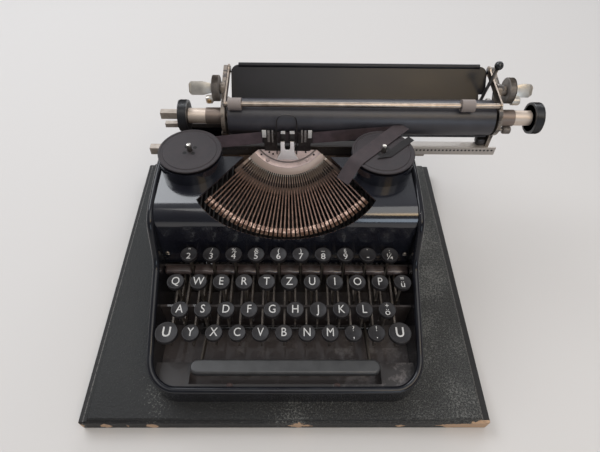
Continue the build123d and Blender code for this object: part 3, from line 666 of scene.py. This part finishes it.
# %% Rim bead
RIM_LINE = [(50, 92), (44, 110.2), (28, 110.4), (12, 109.6), (-12, 106.2), (-19, 103.2), (-24, 99.2),
            (-28, 90), (-32.5, 78), (-39, 64), (-50, 58.6), (-91, 39.8), (-106, 32)]
FRONT_Y, CORNER, WALL_X, BEAD, SUNK = -131.5, 22.5, 110.5, 2.9, 1
CORNER_Z, CORNER_FALL = 31, 9.5
half_rim = [(-WALL_X, y, z - SUNK) for y, z in RIM_LINE]
for turn in (radians(15 * step) for step in range(7)):
    half_rim.append((-WALL_X + CORNER - CORNER * cos(turn), FRONT_Y + CORNER - CORNER * sin(turn),
                     CORNER_Z - SUNK - CORNER_FALL * sin(turn)))
whole_rim = half_rim + [(-x, y, z) for x, y, z in reversed(half_rim)]
rim = bent_wire(whole_rim, BEAD, 6, 6, True)
smooth(rim, 40)
rim_black = aged("rim_enamel", (12, 13, 16), (7, 7, 10), (0.12, 0.22), 0, 40, 500, 0.02, shine=0.3)
chips = times(over(noise(rim_black, 70, 6, 0.65), 0.68), mask_where(rim_black, (X, 105, 120), (Y, -75, 20)))
tint(rim_black, chips, (220, 200, 190), 0.4, 0.5)
settle(rim, "rolled_rim", rim_black, "machine")
print("rim faces", len(rim.data.polygons))


# %% [markdown]
# ## Key tops
# The letters are filled in white and lie flush, so they become thin flat meshes just above the dish of
# the key. Keys with two signs have the main one below and the other above it.

# %% Lettering helper
LEGEND = {"2": ("2", '"'), "3": ("3", "/"), "4": ("4", "%"), "5": ("5", "&"), "6": ("6", "("),
          "7": ("7", ")"), "8": ("8", "–"), "9": ("9", "§"), "dash": ("-", "'"), "quarter": ("¼", ":"),
          "ue": ("ü", "="), "oe": ("ö", "+"), "comma": (",", "?"), "period": (".", "!")}
DISH = 0.3
LETTER_Z = -DISH + 0.03


def letter(text, size, y, narrow, bold=0):
    """White lettering as a flat mesh about the origin, moved along Y."""
    words = added(bpy.ops.object.text_add).data
    words.body = text
    words.align_x = "CENTER"
    words.align_y = "CENTER"
    words.size = size * MM
    words.offset = bold * MM
    words.extrude = 0.04 * MM
    words.resolution_u = 3
    bpy.ops.object.convert(target="MESH")
    sign = bpy.context.object
    move(sign, Vector((0, y, LETTER_Z)) * MM, Matrix.Diagonal((narrow, 1, 1, 1)))
    sign.data.materials.clear()
    paint(sign, letter_white)
    return sign


print("legends with two signs:", len(LEGEND))


# %% [markdown]
# Each key is a flat disc with a rounded edge and a shallow dish for the fingertip, so the top of a
# cylinder is inset, pushed down in the middle and rounded.

# %% One key top
def key_cap(radius, thickness):
    """A dished disc whose flat top is at height 0, centred on the origin."""
    cap = added(bpy.ops.mesh.primitive_cylinder_add, vertices=56, radius=radius * MM, depth=thickness * MM,
                location=(0, 0, -thickness / 2 * MM))
    pick_faces(cap, lambda centre, normal: normal.z > 0.9)
    bpy.ops.mesh.inset(thickness=0.9 * MM)
    bpy.ops.mesh.inset(thickness=0.5 * MM)
    bpy.ops.transform.translate(value=(0, 0, -DISH * MM))
    done()
    apply_place()
    bevel(cap, 0.45, 3, 50)
    paint(cap, key_black)
    return cap


plain_cap = key_cap(7.05, 4)
shift_cap = key_cap(9.2, 4)
print("key cap faces", len(plain_cap.data.polygons))


# %% [markdown]
# The first cap stays at the origin, and every key gets a copy moved to the top of its own stem.
# A lever's tail can rise above the key, so the stem's height is looked for near the front only.

# %% Put a cap and its letter on every key
TOP_LIFT = 0.75 * MM
KEY_R, SHIFT_R = 7 * MM, 9 * MM


def dress_key(cap, signs, x, radius, name, body):
    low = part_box(body)[0]
    stem_top = max(v.co.z for v in nodes[body].data.vertices if v.co.y < low.y + 2 * radius)
    twin = cap.copy()
    twin.data = cap.data.copy()
    scene.collection.objects.link(twin)
    made = join([twin] + signs)
    move(made, (x, low.y + radius, stem_top + TOP_LIFT))
    hang(made, name, body)


for name in nodes:
    if not name.startswith("key_"):
        continue
    short = name[4:]
    main, above = LEGEND.get(short, (short.upper(), ""))
    if above:
        signs = [letter(main, 8.4, -2.4, 1), letter(above, 6.4, 3.3, 1)]
    else:
        signs = [letter(main, 10.6, 0, 0.84)]
    dress_key(plain_cap, signs, middle_of(name)[X], KEY_R, "cap_" + short, name)

low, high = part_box("shift_frame")
for side, x in (("left", low.x + SHIFT_R), ("right", high.x - SHIFT_R)):
    dress_key(shift_cap, [letter("U", 12, 0, 0.9, 0.16)], x, SHIFT_R, "cap_shift_" + side, "shift_frame")
for spare in (plain_cap, shift_cap):
    bpy.data.objects.remove(spare)
print("dressed all the keys")


# %% [markdown]
# ## Turned pieces
# Spools, knobs, screws and pins are all turned on a lathe. `turned` does the same: it draws half of the
# section point by point with extrude, and spins it about the Z axis. `cut_plate` closes such a line to
# a flat plate instead, and `notch` presses grooves into a turned rim.

# %% Lathe helpers
def drawn(points):
    """A line through (x, z) points in millimetres, left selected in edit mode."""
    piece = added(bpy.ops.mesh.primitive_plane_add, size=0.001)
    edit(piece, "VERT")
    pick_all()
    bpy.ops.mesh.merge(type="CENTER")
    here = Vector((0, 0, 0))
    for number, (x, z) in enumerate(points):
        step = Vector((x, 0, z)) * MM - here
        if number:
            bpy.ops.mesh.extrude_region_move(TRANSFORM_OT_translate={"value": step})
        else:
            bpy.ops.transform.translate(value=step)
        here += step
    pick_all()
    return piece


def face_outwards():
    pick_all()
    bpy.ops.mesh.normals_make_consistent(inside=False)
    done()


def turned(section, steps):
    """A body of revolution about Z from (radius, height) points in millimetres, from the bottom up."""
    piece = drawn(section)
    bpy.ops.mesh.spin(steps=steps, angle=tau, center=(0, 0, 0), axis=(0, 0, 1))
    pick_all()
    bpy.ops.mesh.remove_doubles(threshold=0.000002)
    face_outwards()
    return piece


def cut_plate(outline, depth):
    """A flat plate drawn as (x, z) points in millimetres, extruded towards +Y."""
    piece = drawn(outline)
    bpy.ops.mesh.edge_face_add()
    bpy.ops.mesh.extrude_region_move(TRANSFORM_OT_translate={"value": (0, depth * MM, 0)})
    face_outwards()
    return piece


def notch(piece, radius, count, depth, lip=0.08):
    """Press every second strip of a turned rim inwards."""
    def in_groove(centre, normal):
        strip = int(atan2(centre.y, centre.x) % tau / (pi / count))
        return abs(normal.z) < 0.3 and centre.xy.length > 0.97 * radius * MM and strip % 2 == 0

    pick_faces(piece, in_groove)
    bpy.ops.mesh.inset(thickness=lip * MM, use_individual=True)
    bpy.ops.transform.shrink_fatten(value=-depth * MM)
    done()


print("lathe ready")


# %% [markdown]
# ## Ribbon spools
# The top flange is thin tin with a raised ring near its edge and a sunk ring inside it. Four small holes
# stand around the middle as flat black discs, painted shade, and the post shows as a bright pin.

# %% Spools
low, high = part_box("spool_left")
SPOOL_TOP = high.z / MM - BOARD
SPOOL_LOW = low.z / MM - BOARD
SPOOL_R = (high.x - low.x) / 2 / MM
BORE, WOUND_R, HOLE_RING, PIN_R = 2.3, 19, 5.2, 2.12
# The flange as (in from the edge, down from the top).
FLANGE = ((0.3, 1.5), (0, 1.1), (0, 0.6), (0.4, 0.2), (1.6, 0.2), (2.3, 0.65), (3.6, 0.7),
          (4.3, 0.25), (5.2, 0.25))
spool_section = [(BORE, SPOOL_LOW), (24.5, SPOOL_LOW), (24.7, SPOOL_LOW + 0.7), (24.5, SPOOL_LOW + 1.4),
                 (WOUND_R, SPOOL_LOW + 1.5), (WOUND_R, SPOOL_TOP - 1.5)]
spool_section += [(SPOOL_R - inset, SPOOL_TOP - drop) for inset, drop in FLANGE]
spool_section += [(4, SPOOL_TOP - 0.3), (BORE, SPOOL_TOP - 0.3), (BORE, SPOOL_LOW)]
hole_section = [(0, -0.1), (1.7, -0.1), (1.7, 0), (1.5, 0.04), (1.4, 0.01), (0, 0.01)]
pin_section = [(0, SPOOL_TOP - 0.2), (PIN_R, SPOOL_TOP - 0.2), (PIN_R, 130.6), (1.7, 131.2), (0.9, 131.4),
               (0, 131.4)]
hole_black = aged("hole_black", (6, 6, 6), (3, 3, 3), (0.8, 0.9), 0, 90, 900, 0)
wound = aged("wound_ribbon", (45, 38, 42), (28, 24, 27), (0.7, 0.9), 0, 220, 2400, 0.3)
for side in ("left", "right"):
    name = "spool_" + side
    middle = Vector((*middle_of(name)[:Z], BOARD * MM))
    spool = turned(spool_section, 96)
    smooth(spool)
    paint(spool, tin, wound)
    for face in spool.data.polygons:
        face.material_index = abs(face.center.xy.length - WOUND_R * MM) < 0.1 * MM
    bits = [spool]
    # Painted shade: each hole is a flat matte black disc laid on the flange, standing for the hole's dark
    # inside.
    for turn in (radians(40 + 90 * quarter) for quarter in range(4)):
        hole = turned(hole_section, 24)
        move(hole, Vector((HOLE_RING * cos(turn), HOLE_RING * sin(turn), SPOOL_TOP - 0.26)) * MM)
        paint(hole, hole_black)
        bits.append(hole)
    spool = join(bits)
    move(spool, middle)
    hang(spool, name + "_tin", name)
    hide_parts(name)
    pin = turned(pin_section, 32)
    move(pin, middle)
    smooth(pin)
    settle(pin, "post_cap_" + side, nickel, "machine")
print("spools at", SPOOL_LOW, SPOOL_TOP, "radius", SPOOL_R)


# %% [markdown]
# ## Platen knobs
# The knobs are black with fine lengthwise knurling, so the turned disc gets a ring of grooves: every
# second strip of its rim is pushed inwards. A bright screw closes each end.

# %% Knobs
low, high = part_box("platen")
KNOB_R, KNOB_LONG, GROOVES, SCREW_R = 14.2, 8, 48, 3.3
KNOB_GROWTH = Matrix.Scale(1.012, 4)
knob_section = [(0, 0), (12, 0), (13.6, 0.4), (KNOB_R, 1.2), (KNOB_R, 6.8), (13.6, 7.6), (11.8, KNOB_LONG),
                (9.8, KNOB_LONG), (9, 7.5), (3.4, 7.4), (3.2, 8.1), (2.4, 8.35), (0, 8.4)]
for side, inner_end, turn in (("left", low.x + KNOB_LONG * MM, -90),
                              ("right", high.x - KNOB_LONG * MM, 90)):
    knob = turned(knob_section, GROOVES * 2)
    notch(knob, KNOB_R, GROOVES, 0.45, 0.1)
    smooth(knob, 25)
    paint(knob, key_black, nickel)
    for face in knob.data.polygons:
        face.material_index = face.center.xy.length < SCREW_R * MM and face.center.z > 6 * MM
    move(knob, (inner_end, *middle_of("platen")[Y:]), turn_about("Y", turn) @ KNOB_GROWTH)
    hang(knob, "knob_" + side, "platen")
print("knobs at", round(low.x, 4), round(high.x, 4))


# %% [markdown]
# ## Ribbon
# The ribbon is inked cotton, 13 mm wide. It leaves the left roll on edge, runs through the vibrator in
# front of the platen and goes on to the right, where it has come loose and lies in a flat strip over
# the right spool, with a folded length beside the pin. Each stretch is a grid whose points are laid
# along its own line. The stretch through the gate hangs on the vibrator. The runs beside it stay fixed,
# though their inner ends would rise with it when a key is struck.

# %% Ribbon cloth
RIBBON_WIDTH = 13
RIBBON_THICK = 0.16


def cotton(name, light, dark):
    """Inked cotton with fine slanting threads in its surface."""
    finish = aged(name, light, dark, (0.75, 0.95), 0, 120, 900, 0.15)
    threads = pattern(finish, "TexWave", Scale=900, Distortion=0.6, Detail=1)
    threads.bands_direction = "DIAGONAL"
    raise_where(finish, threads.outputs["Fac"], 0.25, 0.0002)
    return finish


def lay_strip(name, place, finish, columns=40, rows=6):
    """A grid laid by place(u, v) in millimetres: u runs 0 to 1 along it, v -0.5 to 0.5 across."""
    strip = added(bpy.ops.mesh.primitive_grid_add, x_subdivisions=columns, y_subdivisions=rows, size=1)
    for corner in strip.data.vertices:
        corner.co = at(*place(corner.co.x + 0.5, corner.co.y))
    strip.name = name
    strip.data.name = name
    thick = strip.modifiers.new("thickness", "SOLIDIFY")
    thick.thickness = RIBBON_THICK * MM
    thick.offset = 0
    take(strip)
    bpy.ops.object.modifier_apply(modifier=thick.name)
    smooth(strip, 40)
    paint(strip, finish)
    return strip


cloth_weave = cotton("inked_cotton", (50, 37, 40), (32, 24, 27))
faded_weave = cotton("faded_cotton", (98, 70, 82), (60, 43, 50))
# Painted shade: the fold's cotton is near black, for the deep shade beside the slack strip over the spool.
painted_shade_weave = cotton("painted_shade_ink", (14, 12, 13), (7, 6, 7))
print("three shades of cotton")


# %% [markdown]
# Three runs stand on edge, from the left roll to the gate, through the gate, and on to the right. The
# slack strip lies flat on the right spool and bends down over its edge. The fold is a loose length laid
# double, with its lower half just under the upper one, and its near-black tone is painted shade beside
# the slack strip.

# %% Ribbon runs
RIBBON_Y, RIBBON_LOW, GATE_X = 69.3, 104, 23.5
ROLL_X, ROLL_Y, ROLL_LOW = -75.8, 54.6, 109
TURN_X, TURN_LOW = 104, 112.6
SLACK_TURN = radians(224.5)
SLACK_Z, SLACK_RUN, SLACK_TAIL, SLACK_BEND = 125.6, 65.5, 20, 9
SLACK_STEEP = atan2(13.6, 14.5)
BEND_SHORTENS, BEND_FALLS = 0.16, 0.38
FOLD_X, FOLD_Y, FOLD_Z, FOLD_RUN, FOLD_APART = 108.7, 52.4, 125.32, 36, 0.16
FOLD_COS, FOLD_SIN = 0.736, 0.677
ROLL_END, TURN_END = (ROLL_X, ROLL_Y, ROLL_LOW), (TURN_X, RIBBON_Y, TURN_LOW)
GATE_LEFT, GATE_RIGHT = (-GATE_X, RIBBON_Y, RIBBON_LOW), (GATE_X, RIBBON_Y, RIBBON_LOW)


def on_edge(start, end, sway=lambda u, v: 0):
    """A run on edge from one lower corner to the other, that sways a little on its way."""
    def place(u, v):
        x, y, low = (first + (last - first) * u for first, last in zip(start, end))
        return x, y + sway(u, v) * sin(pi * u), low + RIBBON_WIDTH * (v + 0.5)
    return place


def slack_run(u, v):
    """Flat over the spool, then bent down over its edge with a soft bend."""
    into_bend = (SLACK_RUN + SLACK_TAIL) * u - SLACK_RUN + SLACK_BEND / 2
    inside = min(max(into_bend, 0), SLACK_BEND)
    past = max(into_bend - SLACK_BEND, 0)
    bent = inside / SLACK_BEND
    run = SLACK_RUN - SLACK_BEND / 2 + min(into_bend, 0) + inside * (1 - BEND_SHORTENS * bent)
    run += past * cos(SLACK_STEEP)
    fall = inside * BEND_FALLS * bent + past * sin(SLACK_STEEP)
    side = RIBBON_WIDTH * v
    x = TURN_X + run * cos(SLACK_TURN) - side * sin(SLACK_TURN)
    y = RIBBON_Y + run * sin(SLACK_TURN) + side * cos(SLACK_TURN)
    wave = 0.35 * sin(9 * u) * cos(2.2 * v) * sin(pi * min(u * 1.6, 1))
    return x, min(y, RIBBON_Y), SLACK_Z - fall + max(wave, -0.1)


def fold_run(u, v):
    """A loose length beside the pin, folded double along its middle."""
    side = RIBBON_WIDTH * (0.25 - abs(v))
    run = FOLD_RUN * u - 1.6 * side * u
    layer = FOLD_APART if v > 0 else -FOLD_APART if v < 0 else 0
    return (FOLD_X - FOLD_COS * run + FOLD_SIN * side, FOLD_Y - FOLD_SIN * run - FOLD_COS * side,
            FOLD_Z + layer)


left_run = on_edge(ROLL_END, GATE_LEFT, lambda u, v: 0.5 * sin(3 * v))
right_run = on_edge(GATE_RIGHT, TURN_END, lambda u, v: 0.3 * sin(4 * u))
left_ribbon = lay_strip("ribbon_left", left_run, faded_weave)
middle_ribbon = lay_strip("ribbon_middle", on_edge(GATE_LEFT, GATE_RIGHT), cloth_weave)
right_ribbon = lay_strip("ribbon_right", right_run, faded_weave)
slack_ribbon = lay_strip("ribbon_slack", slack_run, cloth_weave, 70, 8)
fold_ribbon = lay_strip("ribbon_fold", fold_run, painted_shade_weave)
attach(fold_ribbon, "machine")
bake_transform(left_ribbon)
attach(middle_ribbon, "ribbon_vibrator")
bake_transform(right_ribbon)
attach(slack_ribbon, "machine")
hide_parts("ribbon")
print("ribbon laid in five stretches")


# %% [markdown]
# ## Levers at the carriage ends
# Each is a small notched wheel with a flat thumb wing, nickel plated and now dull. The wing is a plate
# with two rounded outer corners, and the wheel is turned and notched.

# %% Thumb levers
worn_wheel = aged("worn_wheel", (300, 270, 245), (130, 115, 105), (0.35, 0.55), 0.4, 160, 1200, 0.15)
WHEEL_R, WHEEL_WIDE, TEETH = 11.5, 6.5, 30
WING_TILT, WING_THICK = -29, 1.9
WING_ROOT, WING_WIDENS = WHEEL_WIDE - 0.8, WHEEL_WIDE + 9
wheel_section = [(0, 0), (10.7, 0), (WHEEL_R, 0.5), (WHEEL_R, 6), (10.7, WHEEL_WIDE), (7, WHEEL_WIDE),
                 (6.2, 6), (4.2, 6), (3.8, 6.9), (0, 7.1)]
for name, sign in (("line_space_lever", -1), ("carriage_release_lever", 1)):
    low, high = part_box(name)
    hub = Vector((high.x if sign < 0 else low.x, *middle_of(name)[Y:]))
    wheel = turned(wheel_section, TEETH * 2)
    notch(wheel, WHEEL_R, TEETH, 0.9)
    smooth(wheel, 25)
    move(wheel, hub, turn_about("Y", 90 * sign))
    wing_end = (high.x - low.x) / MM
    leaf = [(WING_ROOT, -3.75), (WING_WIDENS, -6), (wing_end, -6), (wing_end, 6), (WING_WIDENS, 6),
            (WING_ROOT, 3.75)]
    wing = cut_plate([(sign * x, z) for x, z in leaf], WING_THICK)
    pick_edges(wing, lambda *ends: abs(ends[0].y - ends[1].y) > 0.001
               and all(abs(abs(end.x) - wing_end * MM) < 0.0001 for end in ends))
    bpy.ops.mesh.bevel(offset=2.8 * MM, segments=6)
    done()
    move(wing, hub, turn_about("X", WING_TILT) @ Matrix.Translation((0, -WING_THICK / 2 * MM, 0)))
    bevel(wing, 0.45)
    paint(wheel, worn_wheel)
    paint(wing, lever_nickel)
    lever = join([wing, wheel])
    settle(lever, name + "_plated", None, name)
    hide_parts(name)
print("thumb levers done")


# %% [markdown]
# ## Vibrator and type guide
# In front of the platen stands the ribbon's gate, with three bright fingers each side and two dark
# strips in the middle, whose white tops are a painted glint. The strips stand on the gate's lower bar
# and leave room between them for the type.

# %% Gate fingers
def finger(x, y, low, high, wide, name, body, finish, deep=0.5):
    piece = block(x, y, low, high, wide, deep)
    bevel(piece, min(wide, deep) * 0.3)
    settle(piece, name, finish, body)


GATE_FRONT = 66.75
white_tip = aged("white_tip", (700, 690, 680), (560, 550, 540), (0.4, 0.6), 0, 200, 900, 0.05)
grey_tip = aged("grey_tip", (300, 280, 270), (140, 130, 125), (0.4, 0.6), 0.3, 300, 900, 0.05)
strip_painted_glint = aged("strip_painted_glint", (45, 42, 42), (22, 21, 21), (0.4, 0.6), 0.3, 200, 900, 0.05)
# Painted glint: the tops of the two middle strips are painted white.
tint_box(strip_painted_glint, [(Z, 117.3, 125)], (630, 620, 610), 0.5)
for number, (x, wide, low, high, finish) in enumerate((
        (-21.1, 3.7, 112.9, 121.4, white_tip), (-17.1, 2.2, 107.6, 121.2, grey_tip),
        (-13.6, 1.4, 107, 121.4, grey_tip), (13.2, 1.6, 107, 121.4, grey_tip),
        (16.3, 2, 107.6, 121.2, grey_tip), (20.4, 3.4, 112.5, 121.4, white_tip),
        (-4, 4, 97, 120.4, strip_painted_glint), (4.3, 4.4, 97, 120.4, strip_painted_glint))):
    finger(x, GATE_FRONT, low, high, wide, "gate_finger_%d" % number, "ribbon_vibrator", finish)
print("gate fingers done")


# %% [markdown]
# A thin wire arch behind the guide keeps the paper back. It is bent like the rim, from a curve.

# %% Wire arch
ARCH_X, ARCH_HALF, ARCH_Y, ARCH_LOW, ARCH_TOP, ARCH_R = -0.6, 9.2, 65.5, 88, 137.5, 0.5
arch_line = [(-ARCH_HALF, ARCH_LOW), (-ARCH_HALF, 112), (-ARCH_HALF, 129), (-ARCH_HALF + 1.2, ARCH_TOP),
             (0, ARCH_TOP + 3)]
arch_line += [(-x, z) for x, z in reversed(arch_line[:-1])]
arch = bent_wire([(x + ARCH_X, ARCH_Y, z) for x, z in arch_line], ARCH_R, 8, 3, False)
smooth(arch, 60)
settle(arch, "wire_arch", dark_steel, "machine")
print("wire arch done")


# %% [markdown]
# The type guide is a small bright plate with two prongs, and the type passes between them.

# %% Forked type guide
guide_metal = aged("guide_metal", (970, 930, 940), (860, 810, 820), (0.4, 0.55), 0, 110, 1300, 0.1)
half_fork = [(9.9, 89.3), (9.9, 91), (6.4, 99), (6.2, 110.7), (5.6, 111.2), (3.2, 111.2), (2.6, 110.6),
             (2.5, 103.4), (1.6, 102)]
guide = cut_plate([(-x, z) for x, z in half_fork] + half_fork[::-1], 0.6)
move(guide, at(0, 62.05, 0))
bevel(guide, 0.2)
settle(guide, "type_guide_face", guide_metal, "machine")
print("guide done")


# %% [markdown]
# ## The face of the segment
# The steel half-ring that carries the typebars has a smooth crowned face with a rounded rim, a fine
# groove, two screws and a few rivets. It is turned about the basket's axis, cut off along its chord and
# its two sides with bisect, and set on the measured segment. It stays low enough for a bar to strike.

# %% Segment face
BASKET = Matrix.Translation(PRINT_POINT) @ Matrix((
    Vector((1, 0, 0)), Vector((0, cos(TILT), sin(TILT))), BASKET_AXIS)).transposed().to_4x4()
FACE_LOW, CHORD, SIDE = -16.9, 23.2, radians(50)
crown_section = [(0, FACE_LOW), (46.9, FACE_LOW), (47, -16.6), (46, -16.1), (44, -15.3), (41, -14.7),
                 (40.2, -14.6), (39.9, -14.75), (36, -14.75), (35.4, -15.25), (34.7, -15.25),
                 (34.3, -14.85), (0, -14.85)]
crown = turned(crown_section, 128)
crown_metal = aged("crown_metal", (500, 400, 390), (330, 260, 250), (0.32, 0.5), 0.5, 110, 1300, 0.12)
radius = basket_radius(crown_metal)
tint(crown_metal, between(radius, 34.1 * MM, 35.5 * MM), (160, 135, 130), 0.6, 0.3)
tint(crown_metal, over(radius, 40.6 * MM), (560, 440, 380), 0.45, 0.4)
paint(crown, crown_metal)
for point, normal in (((0, -CHORD, 0), (0, 1, 0)), ((0, 0, 0), (cos(SIDE), sin(SIDE), 0)),
                      ((0, 0, 0), (-cos(SIDE), sin(SIDE), 0))):
    edit(crown, "VERT")
    pick_all()
    bpy.ops.mesh.bisect(plane_co=Vector(point) * MM, plane_no=normal, use_fill=True, clear_outer=True)
    done()
smooth(crown)
bits = [crown]
for x, d, r in ((-18.6, 32.8, 1.9), (18, 32.4, 1.9), (-24.7, 27.7, 0.9), (24.6, 27.6, 0.9),
                (-17.2, 25.5, 0.9), (17, 25.3, 0.9), (-13.7, 27.1, 0.9)):
    screw = turned([(0, -15.2), (r, -15.2), (r, -14.5), (r * 0.8, -14.25), (r * 0.25, -14.2),
                    (r * 0.2, -14.5), (0, -14.5)], 24)
    move(screw, Vector((x, -d, 0)) * MM)
    smooth(screw)
    paint(screw, crown_metal if r > 1 else hole_black)
    bits.append(screw)
crown = join(bits)
crown.data.transform(BASKET)
settle(crown, "segment_face", None, "machine")
print("segment face", len(crown.data.polygons), "faces")


# %% [markdown]
# ## The bar behind the top row
# A brown bar with rounded edges lies behind the stems of the top row. It is made in short stretches
# that leave a gap for every stem, so that the keys can go down.

# %% Rounded bar
comb_brown = aged("comb_brown", (85, 62, 58), (30, 21, 20), (0.22, 0.4), 0.1, 130, 900, 0.1, 0.4)
BAR_Y, BAR_DEEP, BAR_LOW, BAR_HIGH, BAR_GAP, BAR_END = -33.4, 8.6, 43.4, 49.2, 1.4, 107.4
ROW_ONE = (*"23456789", "dash", "quarter")
stems = sorted(middle_of("key_" + name)[X] / MM for name in ROW_ONE)
stops = [-BAR_END - BAR_GAP] + stems + [BAR_END + BAR_GAP]
for number, (start, end) in enumerate(zip(stops, stops[1:])):
    stretch = block((start + end) / 2, BAR_Y, BAR_LOW, BAR_HIGH, end - start - 2 * BAR_GAP, BAR_DEEP)
    pick_edges(stretch, lambda first, last: abs(first.x - last.x) > 0.001)
    bpy.ops.mesh.bevel(offset=2.4 * MM, segments=5)
    done()
    bevel(stretch, 0.3, 2, 60, 50)
    settle(stretch, "comb_rest_%d" % number, comb_brown, "machine")
print("bar in", len(stops) - 1, "stretches")


# %% [markdown]
# ## Small fittings
# Screws and studs that show: two on the cover's face beside the top row, two on the tray's front, one
# on the carriage's left end plate and one in the clamp under the left wing.

# %% Screws
def screw_head(r, height):
    """A domed screw head about the origin, top towards +Z, with a slot across it."""
    head = turned([(0, 0), (r, 0), (r, height * 0.45), (r * 0.8, height * 0.85), (r * 0.4, height),
                   (0, height)], 24)
    pick_faces(head, lambda centre, normal: normal.z > 0.3 and abs(centre.y) < r * 0.16 * MM)
    bpy.ops.transform.translate(value=(0, 0, -height * 0.35 * MM))
    done()
    smooth(head)
    return head


rust = aged("rusty_screw", (75, 46, 42), (35, 24, 23), (0.5, 0.7), 0.2, 300, 1200, 0.2)
UP, TO_FRONT = Matrix.Identity(4), turn_about("X", 90)
TO_LEFT, TO_RIGHT = turn_about("Y", -90), turn_about("Y", 90)
for name, spot, turn, r, height, finish, body in (
        ("stud_left", (-104, -25.2, 60.5), TO_FRONT, 2.2, 1.4, steel, "machine"),
        ("stud_right", (104, -25.2, 60.5), TO_FRONT, 2.2, 1.4, steel, "machine"),
        ("tray_screw_left", (-45.5, -127, 18), UP, 2.6, 1, rust, "machine"),
        ("tray_screw_right", (42.3, -127, 18), UP, 2.6, 1, rust, "machine"),
        ("plate_screw_left", (-59.5, 82, 105), TO_LEFT, 2.6, 3, steel, "carriage"),
        ("clamp_screw", (-71.2, 92, 133.4), TO_FRONT, 2.1, 1.2, brass, "line_space_lever")):
    head = screw_head(r, height)
    move(head, at(*spot), turn)
    settle(head, name, finish, body)
print("screws done")


# %% [markdown]
# The rack's row of holes is a row of small dark eyelets. The feed pan's edge is a long thin bar, a boss
# stands under the right wing and a clamp block under the left one, and a notched screw sits under the
# right collar.

# %% Eyelets and bosses
EYELETS, EYELET_X, EYELET_STEP = 73, -65, 3.65
eyelet_section = [(0, 0), (1.05, 0), (1.05, 0.25), (0.8, 0.3), (0.7, 0.1), (0, 0.1)]
bits = []
for step in range(EYELETS):
    eyelet = turned(eyelet_section, 10)
    move(eyelet, at(EYELET_X + EYELET_STEP * step, 76.95, 89.6), TO_FRONT)
    bits.append(eyelet)
settle(join(bits), "rack_eyelets", dark_steel, "carriage")


def turned_fitting(name, section, steps, spot, finish, body, grooves=None):
    """A turned piece that lies along X."""
    piece = turned(section, steps)
    if grooves:
        notch(piece, *grooves)
    smooth(piece)
    move(piece, at(*spot), TO_RIGHT)
    settle(piece, name, finish, body)


turned_fitting("feed_pan_edge", [(0, 0), (1.3, 0), (1.6, 0.4), (1.6, 245.4), (1.3, 245.8), (0, 245.8)], 24,
               (-55.8, 84, 102), dark_steel, "carriage")
turned_fitting("release_boss", [(0, 0), (3.8, 0), (3.8, 6.2), (3.2, 7.1), (0, 7.4)], 40, (205.5, 95, 134),
               lever_nickel, "carriage_release_lever")
turned_fitting("collar_screw", [(0, -0.5), (1.5, -0.5), (1.5, 8), (3.3, 8.2), (3.7, 8.8), (3.7, 14.4),
                                (3.3, 15), (0, 15.2)], 40, (193.75, 82, 111), worn_wheel, "carriage",
               (3.7, 20, 0.3))
finger(185.8, 84, 92.9, 101.4, 8.8, "runner_block", "carriage", dark_steel, 10)
finger(-71.2, 95, 129.8, 136.8, 7, "clamp_block", "line_space_lever", lever_nickel, 6)
print("fittings done")
